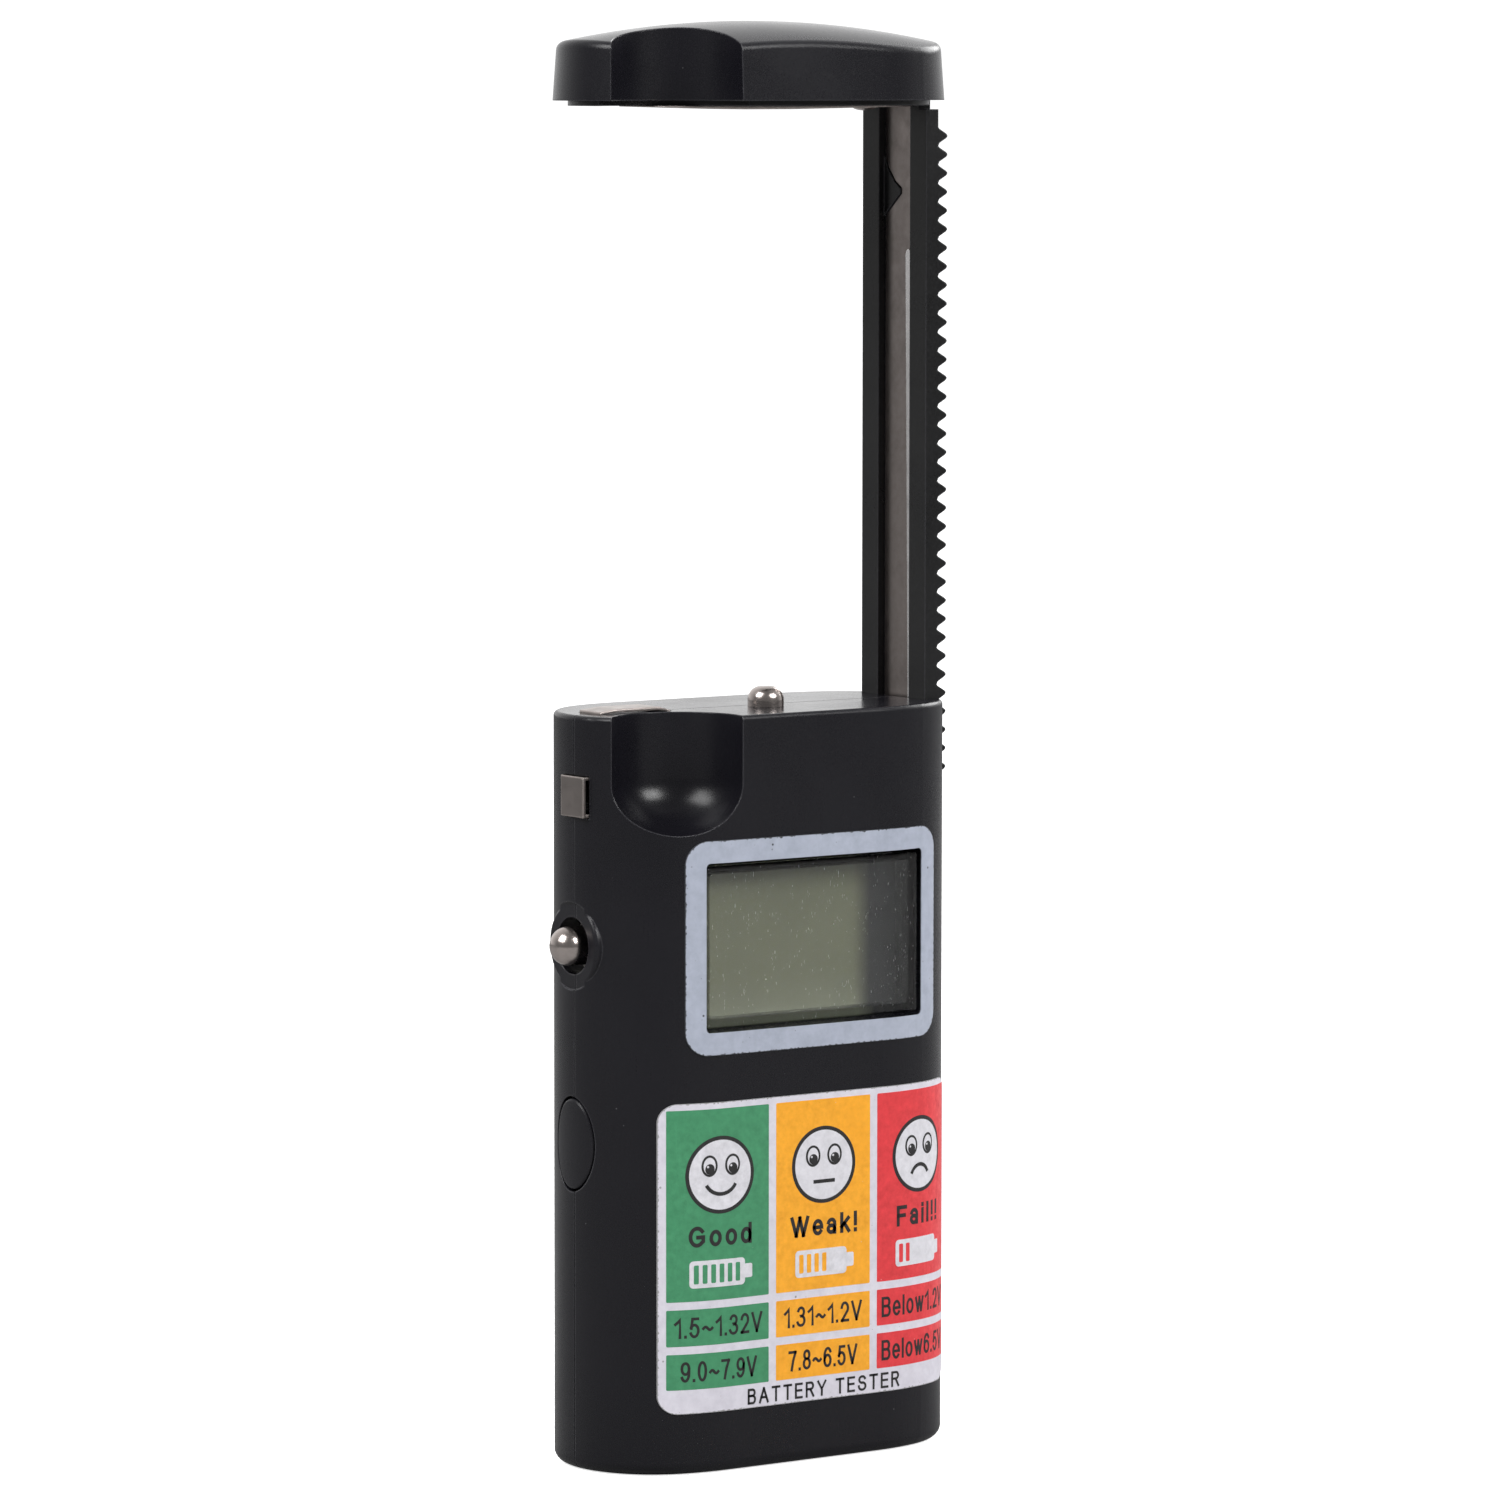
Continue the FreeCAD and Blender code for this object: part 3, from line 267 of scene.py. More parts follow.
def printed_film(name, node, base, shade, chip, radius, rough=0.42):
    """A printed or painted film: mottled, speckled, and nicked along its outline.

    base and shade are its two colours and chip the colour under it, where it is nicked.
    radius is that of its outline's corners, and rough its middle roughness.
    """
    finish = Finish(name)
    border = inside_box(finish, node, radius)
    mottle = finish.noise(1.3, 4, 0.65)
    broad = finish.noise(11, 2)
    bite = finish.span(finish.noise(0.35, 2), 0.5, 0.85, 0.0, 0.22)
    nicks = finish.span(finish.sum(border, bite, "SUBTRACT"), 0.09, 0.03)
    specks = finish.either(finish.dust(1.7, 0.09), finish.dust(0.8, 0.07))
    colour = finish.blend(finish.span(mottle, 0.35, 0.7), base, shade)
    colour = finish.blend(finish.span(broad, 0.4, 0.75, 0, 0.4), colour, shade)
    marks = finish.either(nicks, specks)
    colour = finish.blend(finish.faint(marks, 0.9), colour, chip)
    finish.drive("Base Color", colour)
    finish.drive("Roughness", finish.span(mottle, 0.3, 0.75, rough - 0.08, rough + 0.1))
    finish.drive("Normal", finish.bump(finish.sum(mottle, marks, "SUBTRACT"), 0.02, 0.25))
    return finish.material


def ink(name, base, rough=0.4):
    """Screen-printed ink: mottled colour, pinholes and an uneven sheen; rough is the middle."""
    finish = Finish(name)
    mottle = finish.noise(0.9, 4, 0.65)
    broad = finish.noise(7, 2)
    holes = finish.dust(1.9, 0.04)
    pale, deep = scaled(base, 1.07, 0.012), scaled(base, 0.80)
    colour = finish.blend(finish.span(mottle, 0.3, 0.72), pale, deep)
    colour = finish.blend(finish.span(broad, 0.35, 0.7, 0, 0.45), colour, base)
    colour = finish.blend(finish.faint(holes, 0.5), colour, grey(0.7))
    finish.drive("Base Color", colour)
    finish.drive("Roughness", finish.span(mottle, 0.3, 0.75, rough - 0.1, rough + 0.12))
    finish.drive("Normal", finish.bump(mottle, 0.012, 0.3))
    return finish.material


def clear_lens(name, node):
    """Clear moulded plastic, dark at its rim, with dust and hairlines; lamps shine through."""
    finish = Finish(name, Transmission_Weight=1.0, IOR=1.49)
    rim = finish.span(inside_box(finish, node, LENS_CORNER, LENS_FLANGE), 0.62, 0.45)
    finish.drive("Base Color", finish.blend(rim, (0.94, 0.96, 0.94), grey(0.01)))
    rounded = finish.sharp_edge(0.3)[1]
    dust = finish.dust(3.1, 0.03)
    hairs = finish.faint(finish.scratches(0.07, 0.8, 1.1), 0.5)
    marks = finish.either(dust, hairs)
    haze = finish.span(finish.noise(6, 3), 0.35, 0.75, 0.015, 0.07)
    finish.drive("Roughness", finish.sum(haze, finish.faint(marks, 0.5)))
    finish.drive("Normal", finish.bump(marks, 0.01, 0.5, rounded))
    output = finish.tree.nodes["Material Output"]
    lamp = finish.add("ShaderNodeLightPath").outputs["Is Shadow Ray"]
    clear = finish.add("ShaderNodeBsdfTransparent", [("Color", (0.88, 0.9, 0.88, 1))])
    through = finish.add("ShaderNodeMixShader", [
        (0, lamp), (1, finish.shader.outputs[0]), (2, clear.outputs[0])])
    finish.tree.links.new(through.outputs[0], output.inputs["Surface"])
    return finish.material


def display_panel(name, node):
    """The blank liquid-crystal panel: olive grey, with painted shade towards its right end and
    painted light at its foot.
    """
    finish = Finish(name, Specular_IOR_Level=0.2)
    low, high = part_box(node)
    shade = finish.span(finish.axis("X"), *(high.x - reach * MM for reach in DISPLAY_PAINTED_SHADE))
    foot = finish.span(finish.axis("Z"), *(low.z + rise * MM for rise in DISPLAY_PAINTED_LIGHT), 0, 0.5)
    clouds = finish.noise(9, 3)
    fine = finish.noise(0.3, 2)
    dust = finish.dust(1.9, 0.05)
    colour = finish.blend(clouds, (0.112, 0.112, 0.072), (0.088, 0.089, 0.056))
    # painted light: the panel paled towards its foot
    colour = finish.blend(foot, colour, (0.16, 0.16, 0.13))
    colour = finish.blend(finish.span(fine, 0.4, 0.7, 0, 0.12), colour, grey(0.20))
    # painted shade: the panel darkened towards its right end
    colour = finish.blend(shade, colour, grey(0.006, 0.15))
    colour = finish.blend(finish.faint(dust, 0.5), colour, grey(0.45))
    finish.drive("Base Color", colour)
    finish.drive("Roughness", finish.span(clouds, 0.3, 0.7, 0.3, 0.42))
    return finish.material


def plain_part(name, base, gloss=0.4, rough=0.6, metallic=0.0):
    """An inner part: mottled colour with a fine grain."""
    finish = Finish(name, Metallic=metallic)
    mottle = finish.span(finish.noise(1.8, 4, 0.6), 0.3, 0.75)
    fine = finish.noise(0.3, 2)
    finish.drive("Base Color", finish.blend(mottle, base, scaled(base, 0.7)))
    finish.drive("Roughness", finish.span(fine, 0.3, 0.7, gloss, rough))
    finish.drive("Normal", finish.bump(fine, 0.01, 0.4))
    return finish.material


def make_materials():
    """Every material that the outside shows, by a short name."""
    nickel = (0.50, 0.445, 0.42)
    return {
        "case": moulded_plastic("case_black", grey(0.0048, 0.35), grey(0.0085, 0.35), 0.24, 0.34),
        "arm": moulded_plastic("arm_black", grey(0.006, 0.05), grey(0.011, 0.05), 0.28, 0.40,
                               grain=0.3, depth=0.012),
        "surround": printed_film("surround_lavender", "display_surround", (0.43, 0.465, 0.555),
                                 (0.345, 0.375, 0.455), grey(0.012), 2.6),
        "label": printed_film("label_silver", "front_label", (0.74, 0.72, 0.79),
                              (0.62, 0.60, 0.67), grey(0.25), 2.0, rough=0.36),
        "lens": clear_lens("lens_clear", "display_lens"),
        "panel": display_panel("display_panel", "lcd_front_glass"),
        "dome": plated_metal("dome_nickel", nickel, 0.16, 0.30, 0.15),
        "strip": plated_metal("strip_nickel", (0.32, 0.28, 0.265), 0.28, 0.42, 0.4,
                              fold_polish_and_highlight=STRIP_FOLD),
        "leaf": plated_metal("leaf_nickel", nickel, 0.26, 0.46, 0.35, 0.5,
                             shaded_below=LEAF_PAINTED_SHADE, soft=0.3),
        "screw": plated_metal("screw_zinc", (0.42, 0.42, 0.43), 0.25, 0.42, 0.3),
        "green": ink("ink_green", (0.05, 0.272, 0.125)),
        "orange": ink("ink_orange", (0.98, 0.405, 0.014)),
        "red": ink("ink_red", (0.75, 0.038, 0.047)),
        "black": ink("ink_black", (0.009, 0.008, 0.009), 0.5),
        "white": ink("ink_white", (0.72, 0.71, 0.755), 0.38),
    }


MATERIALS = make_materials()


def finish_nodes():
    """Give every carried-over part its own material."""
    holder = plain_part("holder_natural", (0.55, 0.54, 0.5))
    looks = {
        "case": ("front_shell", "rear_shell", "head_shell", "test_button"),
        "arm": ("slide_arm",),
        "surround": ("display_surround",),
        "label": ("front_label",),
        "lens": ("display_lens",),
        "panel": ("lcd_front_glass",),
        "dome": ("top_dome_contact", "side_dome_contact", "plate_rivet"),
        "leaf": ("negative_strip", "head_contact_plate", "arm_wiper"),
        "strip": ("arm_contact_strip",),
        "screw": ("case_screws", "dome_washer"),
    }
    inner = {
        "lcd_rear_glass": plain_part("rear_glass", (0.30, 0.32, 0.26), 0.1, 0.2),
        "lcd_reflector": plain_part("reflector", (0.36, 0.36, 0.32), 0.3, 0.4, metallic=0.6),
        "zebra_strip": plain_part("elastomer", (0.50, 0.30, 0.30), 0.6, 0.8),
        "lcd_holder": holder,
        "switch_plunger": holder,
        "side_contact_plate": holder,
        "circuit_board": plain_part("board_green", (0.02, 0.14, 0.05), 0.25, 0.4),
        "control_chip": plain_part("epoxy_black", (0.015, 0.015, 0.016), 0.45, 0.6),
        "push_switch": plain_part("switch_black", (0.02, 0.02, 0.022), 0.35, 0.5),
        "board_components": plain_part("component_tan", (0.25, 0.18, 0.11), 0.4, 0.6),
        "contact_leads": plain_part("lead_red", (0.42, 0.03, 0.025), 0.4, 0.55),
    }
    chosen = {node: MATERIALS[key] for key, names in looks.items() for node in names}
    chosen.update(inner)
    for name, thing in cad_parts.items():
        thing.data.materials.clear()
        thing.data.materials.append(chosen[name])


# ---------------------------------------------------------------- label, printed on the curve
FILM = 0.12             # thickness of the label film
INK = 0.012             # thickness of one layer of ink
FRONT_RADIUS = 20       # the case's broad front arc
SIDE_RADIUS = 10.6      # the tighter arc round its side
FACET = 0.5             # widest facet that follows the curve
SHORTEST_MITRE = 0.6    # cosine of the half turn past which a line's corner is cut short
NEAR = 0.005            # points of a letter closer together than this count as one


def case_plan():
    """Half the flat front's width, the front arc's angle, the side arc's X and the half depth."""
    low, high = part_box("rear_shell")
    width, depth = (high.x - low.x) / MM, 2 * high.y / MM
    turn = math.acos((FRONT_RADIUS - depth / 2) / (FRONT_RADIUS - SIDE_RADIUS))
    side_x = width / 2 - SIDE_RADIUS
    flat = side_x - (FRONT_RADIUS - SIDE_RADIUS) * math.sin(turn)
    return flat, turn, side_x, depth / 2


FLAT, TURN, SIDE_X, HALF_DEPTH = case_plan()
ARC_END = FLAT + FRONT_RADIUS * TURN


def on_front(along, up, lift):
    """A point of the case's front, along it from the middle, raised by lift; all in mm."""
    side = math.copysign(1, along)
    reach = abs(along)
    if reach <= FLAT:
        x, y, angle = reach, -HALF_DEPTH, 0.0
    elif reach <= ARC_END:
        angle = (reach - FLAT) / FRONT_RADIUS
        x = FLAT + FRONT_RADIUS * math.sin(angle)
        y = -HALF_DEPTH + FRONT_RADIUS * (1 - math.cos(angle))
    else:
        angle = TURN + (reach - ARC_END) / SIDE_RADIUS
        x = SIDE_X + SIDE_RADIUS * math.sin(angle)
        y = -SIDE_RADIUS * math.cos(angle)
    x += lift * math.sin(angle)
    y -= lift * math.cos(angle)
    return Vector((side * x, y, up)) * MM


def press_on(name, flat, layer, material):
    """Wrap a flat drawing onto the label as one thin layer of ink.

    flat is a bmesh in the XY plane: X along the front, Y up the case, in millimetres.
    """
    spread = [vertex.co.x for vertex in flat.verts]
    # Cut upright slices first, so that every facet is narrow enough to follow the curve.
    steps = range(math.floor(min(spread) / FACET), math.ceil(max(spread) / FACET) + 1)
    for step in steps:
        everything = flat.verts[:] + flat.edges[:] + flat.faces[:]
        bmesh.ops.bisect_plane(flat, geom=everything, dist=1e-4, plane_no=(1, 0, 0),
                               plane_co=(step * FACET, 0, 0))
    bmesh.ops.recalc_face_normals(flat, faces=flat.faces)
    for face in flat.faces:
        if face.normal.z < 0:
            face.normal_flip()
    raised = bmesh.ops.extrude_face_region(flat, geom=flat.faces[:])
    top = {item for item in raised["geom"] if isinstance(item, bmesh.types.BMVert)}
    base = FILM + (layer - 1) * INK
    for vertex in flat.verts:
        lift = base + INK if vertex in top else base - INK / 2
        vertex.co = on_front(vertex.co.x, vertex.co.y, lift)
    bmesh.ops.recalc_face_normals(flat, faces=flat.faces)
    mesh = bpy.data.meshes.new(name)
    flat.to_mesh(mesh)
    flat.free()
    mesh.materials.append(MATERIALS[material])
    piece = bpy.data.objects.new(name, mesh)
    bpy.context.scene.collection.objects.link(piece)
    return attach(piece, "case")


def polygon(flat, points):
    """One filled outline."""
    flat.faces.new([flat.verts.new((x, y, 0)) for x, y in points])


def ellipse(centre, radii, start=0.0, turn=2 * math.pi, count=48):
    """Points round an ellipse, or along part of it."""
    closed = abs(turn) >= 2 * math.pi
    steps = count if closed else count - 1
    angles = [start + turn * index / steps for index in range(count)]
    return [(centre[0] + radii[0] * math.cos(a), centre[1] + radii[1] * math.sin(a))
            for a in angles]


def rounded(centre, size, radius, count=8):
    """Points round a round-cornered rectangle."""
    points = []
    quarter = math.pi / 2
    for index, (sx, sy) in enumerate(((1, 1), (-1, 1), (-1, -1), (1, -1))):
        corner = (centre[0] + sx * (size[0] / 2 - radius), centre[1] + sy * (size[1] / 2 - radius))
        points += ellipse(corner, (radius, radius), index * quarter, quarter, count)
    return points


def stroke(flat, path, width, cap=0.0):
    """A line of constant width along a path, with mitred corners; a closed path closes up.

    cap is how far an open path runs on past each end.
    """
    closed = math.dist(path[0], path[-1]) < 1e-6
    points = [Vector(point) for point in (path[:-1] if closed else path)]
    count = len(points)
    if not closed:
        points[0], points[-1] = (
            end + (end - inner).normalized() * cap
            for end, inner in ((points[0], points[1]), (points[-1], points[-2])))
    rows = []
    for index, point in enumerate(points):
        before = points[index - 1] if closed or index else None
        after = points[(index + 1) % count] if closed or index < count - 1 else None
        ways = [(b - a).normalized() for a, b in ((before, point), (point, after))
                if a is not None and b is not None]
        along = sum(ways, Vector((0, 0))).normalized()
        reach = width / 2 / max(along.dot(ways[0]), SHORTEST_MITRE)
        out = Vector((-along.y, along.x)) * reach
        rows.append([flat.verts.new((*(point + side * out), 0)) for side in (1, -1)])
    following = rows[1:] + rows[:1] if closed else rows[1:]
    for (a, b), (c, d) in zip(rows, following):
        flat.faces.new((a, b, d, c))


def drawing(name, layer, material, *outlines):
    """Filled outlines pressed on as one piece."""
    flat = bmesh.new()
    for outline in outlines:
        polygon(flat, outline)
    return press_on(name, flat, layer, material)


def arc(x, y, radius_x, radius_y, start, turn):
    """Points along part of an ellipse, from one angle and through another, in degrees."""
    return ellipse((x, y), (radius_x, radius_y), math.radians(start), math.radians(turn),
                   max(6, int(abs(turn) / 12)) + 1)


def loop(x, y, radius_x, radius_y):
    """Points round an ellipse and back to the first."""
    ring = ellipse((x, y), (radius_x, radius_y), count=28)
    return ring + ring[:1]


LOW = 0.37              # half the height of a small letter, with a capital's height as 1
SIX = [loop(0.5, 0.31, 0.5, 0.31), arc(0.54, 0.56, 0.54, 0.44, 35, 145) + [(0, 0.31)]]
ZIGZAG = [[(0, 1), (0.27, 0)], [(0.27, 0), (0.5, 1)], [(0.5, 1), (0.73, 0)], [(0.73, 0), (1, 1)]]
# Each glyph is its width, with a capital's height as 1, and its centre lines, which are
# drawn in a box one wide and one high.
GLYPHS = {
    " ": (0.12, []),
    "!": (0.04, [[(0.5, 1), (0.5, 0.36)], [(0.5, 0.0), (0.5, 0.02)]]),
    ".": (0.04, [[(0.5, 0.0), (0.5, 0.02)]]),
    "~": (0.5, [[(0.1 * step, 0.42 + 0.09 * math.sin(0.2 * math.pi * step))
                 for step in range(11)]]),
    "0": (0.42, [loop(0.5, 0.5, 0.5, 0.5)]),
    "1": (0.24, [[(0, 0.74), (0.6, 0.86), (1, 1), (1, 0)]]),
    "2": (0.42, [arc(0.5, 0.7, 0.48, 0.3, 170, -205) + [(0.06, 0)], [(0.04, 0), (1, 0)]]),
    "3": (0.42, [arc(0.46, 0.76, 0.44, 0.24, 160, -250) + arc(0.44, 0.27, 0.54, 0.27, 90, -250)]),
    "5": (0.42, [[(0.92, 1), (0.2, 1), (0.06, 0.48)], arc(0.46, 0.33, 0.52, 0.33, 145, -300)]),
    "6": (0.42, SIX),
    "7": (0.42, [[(0, 1), (1, 1)], [(1, 1), (0.62, 0.55), (0.36, 0)]]),
    "8": (0.42, [loop(0.5, 0.77, 0.42, 0.23), loop(0.5, 0.28, 0.5, 0.27)]),
    "9": (0.42, [[(1 - x, 1 - y) for x, y in line] for line in SIX]),
    "A": (0.58, [[(0, 0), (0.5, 1)], [(0.5, 1), (1, 0)], [(0.25, 0.34), (0.75, 0.34)]]),
    "B": (0.47, [[(0, 0), (0, 1), (0.6, 1)] + arc(0.6, 0.77, 0.34, 0.23, 80, -160) + [(0, 0.54)],
                 [(0.1, 0.54)] + arc(0.62, 0.27, 0.38, 0.27, 85, -170) + [(0, 0)]]),
    "E": (0.44, [[(1, 1), (0, 1), (0, 0), (1, 0)], [(0, 0.52), (0.92, 0.52)]]),
    "F": (0.44, [[(1, 1), (0, 1), (0, 0)], [(0, 0.52), (0.84, 0.52)]]),
    "G": (0.60, [arc(0.5, 0.5, 0.5, 0.5, 40, 275) + [(0.97, 0.22), (0.97, 0.47), (0.58, 0.47)]]),
    "R": (0.50, [[(0, 0), (0, 1), (0.6, 1)] + arc(0.6, 0.76, 0.36, 0.24, 80, -160) + [(0, 0.52)],
                 [(0.55, 0.52), (1, 0)]]),
    "S": (0.50, [arc(0.5, 0.76, 0.44, 0.24, 20, 250) + arc(0.5, 0.27, 0.5, 0.27, 80, -260)]),
    "T": (0.50, [[(0, 1), (1, 1)], [(0.5, 1), (0.5, 0)]]),
    "V": (0.55, [[(0, 1), (0.5, 0)], [(0.5, 0), (1, 1)]]),
    "W": (0.86, ZIGZAG),
    "Y": (0.54, [[(0, 1), (0.5, 0.44), (1, 1)], [(0.5, 0.5), (0.5, 0)]]),
    "a": (0.40, [arc(0.48, 0.5, 0.44, 2 * LOW - 0.5, 160, -160) + [(0.92, 0.5), (0.92, 0)],
                 loop(0.44, 0.2, 0.44, 0.2)]),
    "d": (0.40, [loop(0.5, LOW, 0.5, LOW), [(1, 0), (1, 1)]]),
    "e": (0.42, [[(0.04, LOW), (1, LOW)] + arc(0.5, LOW, 0.5, LOW, 8, 310)]),
    "i": (0.02, [[(0.5, 0), (0.5, 2 * LOW - 0.05)], [(0.5, 0.98), (0.5, 1)]]),
    "k": (0.38, [[(0, 0), (0, 1)], [(0.94, 2 * LOW), (0, 0.26)], [(0.38, 0.44), (1, 0)]]),
    "l": (0.02, [[(0.5, 0), (0.5, 1)]]),
    "o": (0.42, [loop(0.5, LOW, 0.5, LOW)]),
    "w": (0.58, [[(x, 2 * LOW * y) for x, y in line] for line in ZIGZAG]),
}


def letters(name, words, centre, base, cap, width, line, gap=0.14):
    """Printed words: a capital is cap high, the whole line width wide, its strokes line wide.

    centre is where the words' middle lies along the front, and base how high they stand.
    gap is the clear space between letters, as a share of the capital's height.
    """
    flat = bmesh.new()
    across = sum(GLYPHS[letter][0] + line / cap for letter in words) + gap * (len(words) - 1)
    stretch = width / (across * cap)
    place = centre - width / 2
    for letter in words:
        wide, lines = GLYPHS[letter]
        for path in lines:
            placed = [(place + (x * wide * cap + line / 2) * stretch,
                       base + line / 2 + y * (cap - line)) for x, y in path]
            tidy = [point for index, point in enumerate(placed)
                    if index == 0 or math.dist(point, placed[index - 1]) > NEAR]
            stroke(flat, tidy, line, line / 2)
        place += (wide * cap + line + gap * cap) * stretch
    return press_on(name, flat, 2, "black")


PANEL_WIDTH = 12.3
PANEL_GAP = 0.95
PANEL_MIDDLE = 1.85     # how far along the front the middle panel's centre is
PANEL_CORNER = 0.12
UPPER_ROW = (18.6, 39.0)
LOWER_ROWS = ((13.85, 17.75), (9.2, 13.0))
PANELS = {
    # colour: (place, word, word width, lit bars, mouth, lower lines with their widths)
    "green": (-1, "Good", 7.7, 6, "smile", (("1.5~1.32V", 10.6), ("9.0~7.9V", 9.2))),
    "orange": (0, "Weak!", 8.8, 4, "flat", (("1.31~1.2V", 10.2), ("7.8~6.5V", 9.0))),
    "red": (1, "Fail!!", 7.2, 2, "frown", (("Below1.2V", 11.0), ("Below6.5V", 11.0))),
}

# What a panel holds: how far right of its middle, and how high up the case.
FACE_PLACE = (0.05, 31.95)
WORD_PLACE = (0.1, 24.35)
CELL_PLACE = (-0.3, 21.45)
WORD_CAP, WORD_LINE, WORD_GAP = 2.25, 0.42, 0.17
RANGE_CAP, RANGE_LINE = 2.2, 0.30
TITLE_PLACE = (2.035, 6.98)
TITLE_CAP, TITLE_WIDTH, TITLE_LINE, TITLE_GAP = 1.7, 20.0, 0.25, 0.22

FACE_RADIUS = 4.15
FACE_LINE = 0.42
MOUTH_LINE = 0.4
EYES = ((-1.4, 1.0), (1.4, 1.0))
EYE_PARTS = {
    # part: (layer of ink, ink, half sizes, place from the eye's centre, corners)
    "eye_rings": (4, "black", (0.95, 1.15), (0, 0), 36),
    "eyes": (5, "white", (0.70, 0.90), (0, 0), 36),
    "pupils": (6, "black", (0.55, 0.56), (0.03, -0.34), 28),
    "glints": (7, "white", (0.12, 0.12), (-0.2, -0.08), 16),
}
MOUTHS = {
    "smile": ellipse((0, -0.3), (1.95, 1.75), math.radians(205), math.radians(130), 25),
    "flat": [(0.2 * step - 1.35, -1.78) for step in range(15)],
    "frown": ellipse((0, -2.75), (1.5, 1.6), math.radians(25), math.radians(130), 25),
}

CELL_SIZE, CELL_CORNER = (6.7, 2.9), 0.45
NUB_SIZE, NUB_CORNER = (1.3, 1.5), 0.2
NUB_REACH = 0.3         # from the cell's end to the middle of its nub
BAR_SIZE, BAR_CORNER = (0.56, 2.0), 0.12
BAR_START = 0.78        # from the cell's other end to the middle of the first bar
BAR_PITCH = 1.0


def draw_face(colour, centre, mouth):
    """A plain round face: ring, eyes that look down and a one-line mouth."""
    x, y = centre
    inner = FACE_RADIUS - FACE_LINE
    drawing(f"print_{colour}_face_ring", 2, "black",
            ellipse(centre, (FACE_RADIUS, FACE_RADIUS), count=72))
    drawing(f"print_{colour}_face", 3, "white", ellipse(centre, (inner, inner), count=72))
    for part, (layer, shade, radii, (right, up), count) in EYE_PARTS.items():
        drawing(f"print_{colour}_{part}", layer, shade,
                *[ellipse((x + eye_x + right, y + eye_y + up), radii, count=count)
                  for eye_x, eye_y in EYES])
    flat = bmesh.new()
    stroke(flat, [(x + right, y + up) for right, up in MOUTHS[mouth]], MOUTH_LINE)
    press_on(f"print_{colour}_mouth", flat, 4, "black")


def draw_battery(colour, centre, bars):
    """A cell lying on its side: body, nub and the bars that are still lit."""
    x, y = centre
    half = CELL_SIZE[0] / 2
    drawing(f"print_{colour}_cell_nub", 2, "white",
            rounded((x + half + NUB_REACH, y), NUB_SIZE, NUB_CORNER))
    drawing(f"print_{colour}_cell", 3, "white", rounded(centre, CELL_SIZE, CELL_CORNER))
    first = x - half + BAR_START
    drawing(f"print_{colour}_bars", 4, colour,
            *[rounded((first + BAR_PITCH * index, y), BAR_SIZE, BAR_CORNER, 4)
              for index in range(bars)])


def make_label():
    """Three coloured panels with a face, a word, a cell and two ranges each, and the title."""
    for colour, (place, word, width, bars, mouth, lines) in PANELS.items():
        middle = PANEL_MIDDLE + place * (PANEL_WIDTH + PANEL_GAP)
        drawing(f"print_{colour}_panels", 1, colour,
                *[rounded((middle, (low + high) / 2), (PANEL_WIDTH, high - low), PANEL_CORNER, 3)
                  for low, high in (UPPER_ROW, *LOWER_ROWS)])
        draw_face(colour, (middle + FACE_PLACE[0], FACE_PLACE[1]), mouth)
        letters(f"print_{colour}_word", word, middle + WORD_PLACE[0], WORD_PLACE[1], WORD_CAP,
                width, WORD_LINE, WORD_GAP)
        draw_battery(colour, (middle + CELL_PLACE[0], CELL_PLACE[1]), bars)
        for index, ((low, high), (text, length)) in enumerate(zip(LOWER_ROWS, lines)):
            letters(f"print_{colour}_range_{index}", text, middle, (low + high - RANGE_CAP) / 2,
                    RANGE_CAP, length, RANGE_LINE)
    letters("print_title", "BATTERY TESTER", *TITLE_PLACE, TITLE_CAP, TITLE_WIDTH, TITLE_LINE,
            TITLE_GAP)


# ---------------------------------------------------------------- studio
# The camera's place is in millimetres and degrees, and the lamps and the floor in metres.
AIM = (-3.8, -5.5, 76.2)        # what the camera looks at, near the middle of the object
AZIMUTH, TILT, ROLL = 35.0, 5.26, 0.05
DISTANCE = 808
FOCAL_LENGTH = 182.4
LIGHT_TARGET = Vector((0, 0, 0.075))
FLOOR_RADIUS = 8
FLOOR_DROP = 0.05 * MM          # keeps the floor's face and the case's foot apart
FLOOR_GLOW = 0.72               # what the camera sees of the paper, added to its lit colour
BACK_GLOW, FRONT_GLOW = 1.1, 0.22


def make_camera():
    """A long lens to the left of the display, a little above the middle of the object."""
    data = bpy.data.cameras.new("camera")
    data.lens = FOCAL_LENGTH
    data.sensor_width = 36
    data.clip_end = 30
    camera = bpy.data.objects.new("camera", data)
    turn, down = math.radians(AZIMUTH), math.radians(TILT)
    forward = Vector((math.sin(turn) * math.cos(down), math.cos(turn) * math.cos(down),
                      -math.sin(down)))
    camera.location = (Vector(AIM) - forward * DISTANCE) * MM
    camera.rotation_mode = "QUATERNION"
    roll = Quaternion((0, 0, 1), math.radians(ROLL))
    camera.rotation_quaternion = forward.to_track_quat("-Z", "Y") @ roll
    bpy.context.scene.collection.objects.link(camera)
    bpy.context.scene.camera = camera


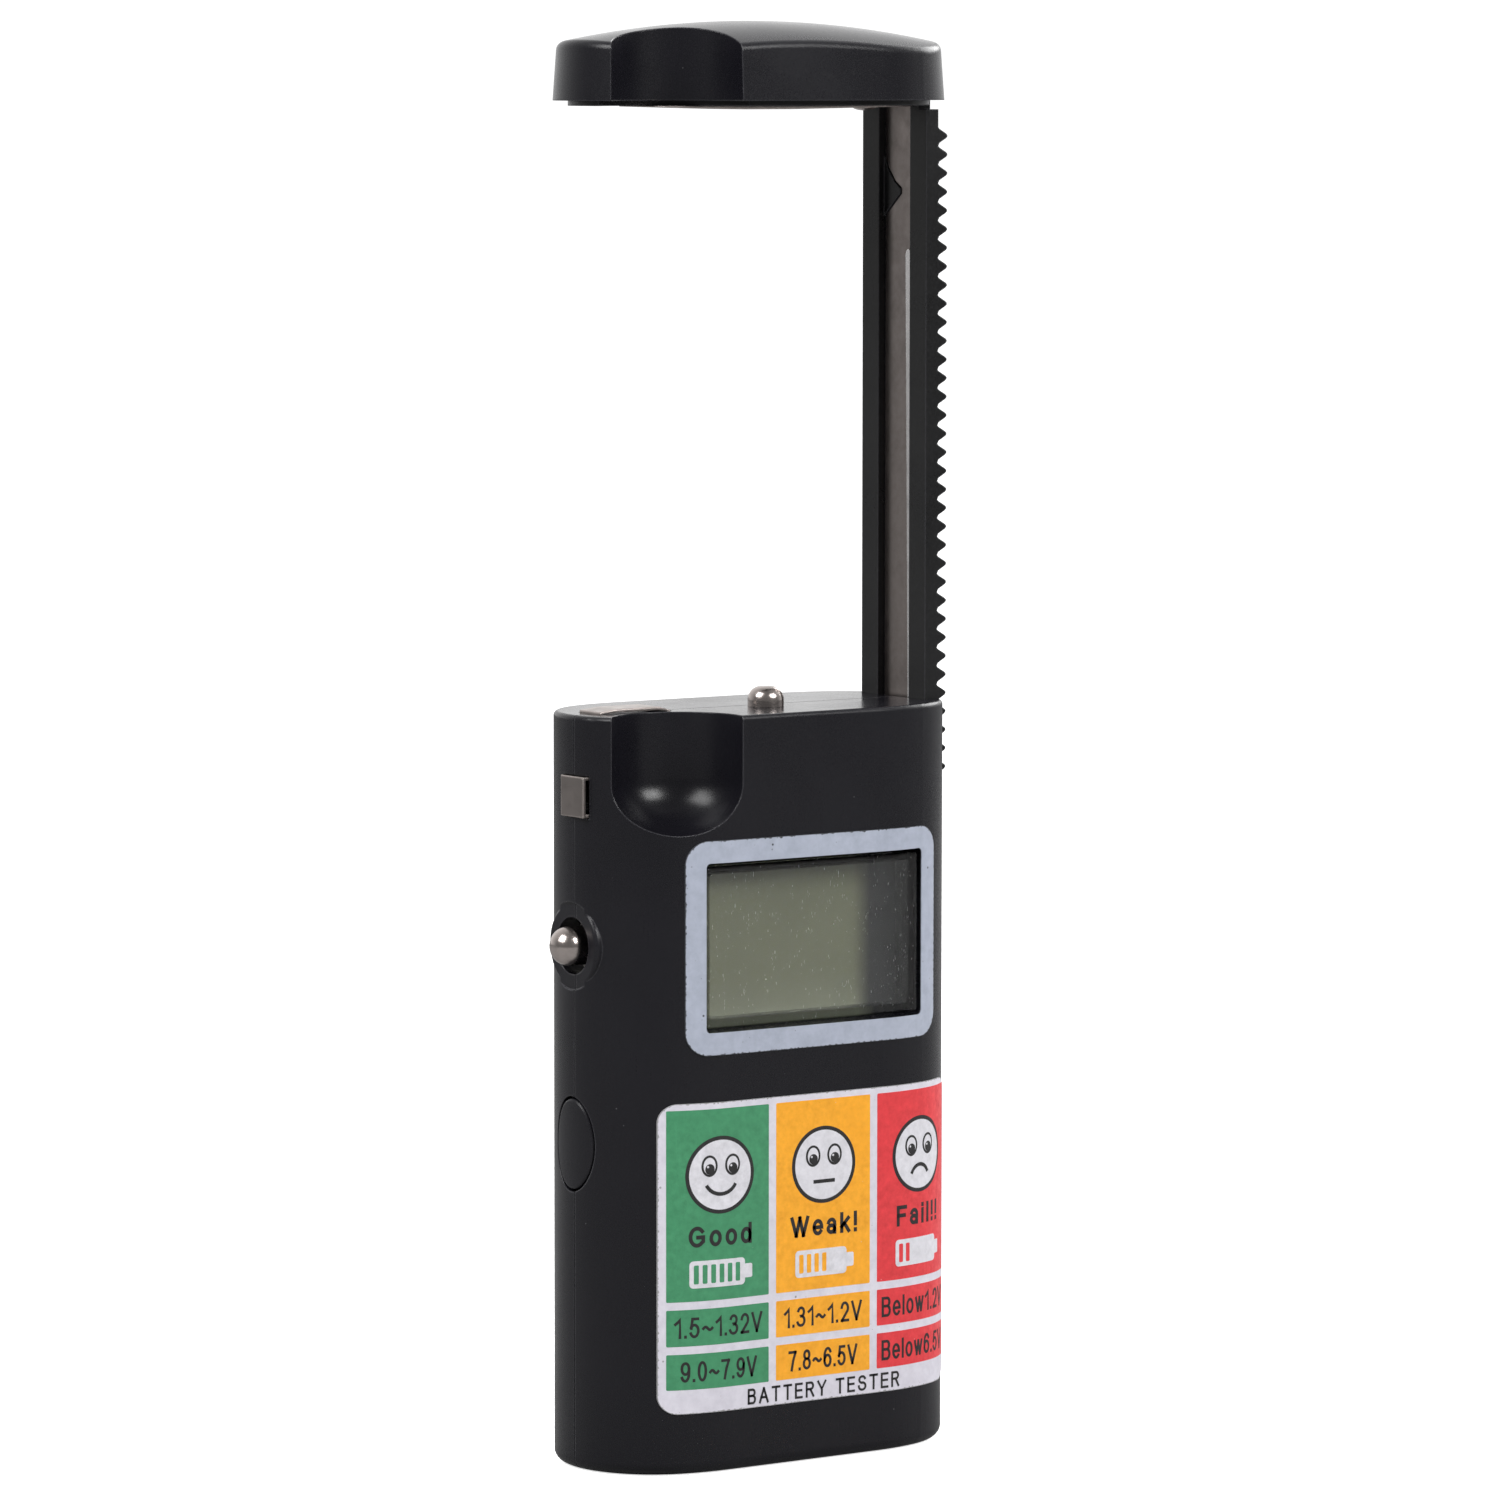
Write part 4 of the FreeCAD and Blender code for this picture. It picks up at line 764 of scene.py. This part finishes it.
def make_floor():
    """Pale paper under the object, which throws little of its own light back on it."""
    mesh = bpy.data.meshes.new("floor")
    shape = bmesh.new()
    bmesh.ops.create_circle(shape, cap_ends=True, radius=FLOOR_RADIUS, segments=96)
    bmesh.ops.translate(shape, verts=shape.verts, vec=(0, 0, -FLOOR_DROP))
    shape.to_mesh(mesh)
    shape.free()
    floor = bpy.data.objects.new("floor", mesh)
    bpy.context.scene.collection.objects.link(floor)
    finish = Finish("floor_paper", Specular_IOR_Level=0.1, Emission_Color=(1, 1, 1, 1))
    fibre = finish.noise(1.2, 4, 0.6)
    seen = finish.add("ShaderNodeLightPath").outputs["Is Camera Ray"]
    paper = finish.blend(fibre, grey(0.93), grey(0.90))
    finish.drive("Base Color", finish.blend(seen, grey(0.30), paper))
    finish.drive("Emission Strength", finish.faint(seen, FLOOR_GLOW))
    finish.drive("Roughness", finish.span(fibre, 0.3, 0.7, 0.8, 0.95))
    finish.drive("Normal", finish.bump(fibre, 0.02, 0.1))
    mesh.materials.append(finish.material)


def softbox(name, bearing, height, distance, size, power):
    """A rectangular lamp aimed at the object, bearing and height in degrees.

    Bearing 0 is in front of the display, and 90 is on the arm's side.
    """
    data = bpy.data.lights.new(name, "AREA")
    data.shape = "RECTANGLE"
    data.size, data.size_y = size
    data.energy = power
    lamp = bpy.data.objects.new(name, data)
    turn, rise = math.radians(bearing), math.radians(height)
    away = Vector((math.sin(turn) * math.cos(rise), -math.cos(turn) * math.cos(rise),
                   math.sin(rise)))
    lamp.location = LIGHT_TARGET + away * distance
    lamp.rotation_mode = "QUATERNION"
    lamp.rotation_quaternion = (-away).to_track_quat("-Z", "Y")
    bpy.context.scene.collection.objects.link(lamp)


def make_world():
    """A pale studio, white behind the object and dimmer in front of it; seen as plain white."""
    world = bpy.data.worlds.new("studio")
    world.use_nodes = True
    tree = world.node_tree
    back = tree.nodes["Background"]
    way = tree.nodes.new("ShaderNodeTexCoord").outputs["Generated"]
    turn = math.radians(AZIMUTH)
    depth = tree.nodes.new("ShaderNodeVectorMath")
    depth.operation = "DOT_PRODUCT"
    depth.inputs[1].default_value = (math.sin(turn), math.cos(turn), 0)
    tree.links.new(way, depth.inputs[0])
    level = tree.nodes.new("ShaderNodeMapRange")
    for socket, value in (("From Min", -0.2), ("From Max", 0.75), ("To Min", FRONT_GLOW),
                          ("To Max", BACK_GLOW)):
        level.inputs[socket].default_value = value
    tree.links.new(depth.outputs["Value"], level.inputs["Value"])
    seen = tree.nodes.new("ShaderNodeLightPath").outputs["Is Camera Ray"]
    most = tree.nodes.new("ShaderNodeMath")
    most.operation = "MAXIMUM"
    tree.links.new(level.outputs["Result"], most.inputs[0])
    tree.links.new(seen, most.inputs[1])
    tree.links.new(most.outputs[0], back.inputs["Strength"])
    back.inputs["Color"].default_value = (1, 1, 1, 1)
    bpy.context.scene.world = world


def make_lights():
    """Three soft lamps: one on the button's side, one in front and a dim one on the arm's side."""
    softbox("left", -88, 42, 0.8, (0.45, 0.45), 6.0)
    softbox("front", 20, 34, 0.9, (0.45, 0.35), 6.6)
    softbox("right", 104, 27, 0.8, (0.55, 0.3), 3.0)


finish_nodes()
make_label()
make_camera()
make_floor()
make_world()
make_lights()
bpy.context.scene.view_settings.view_transform = "Standard"
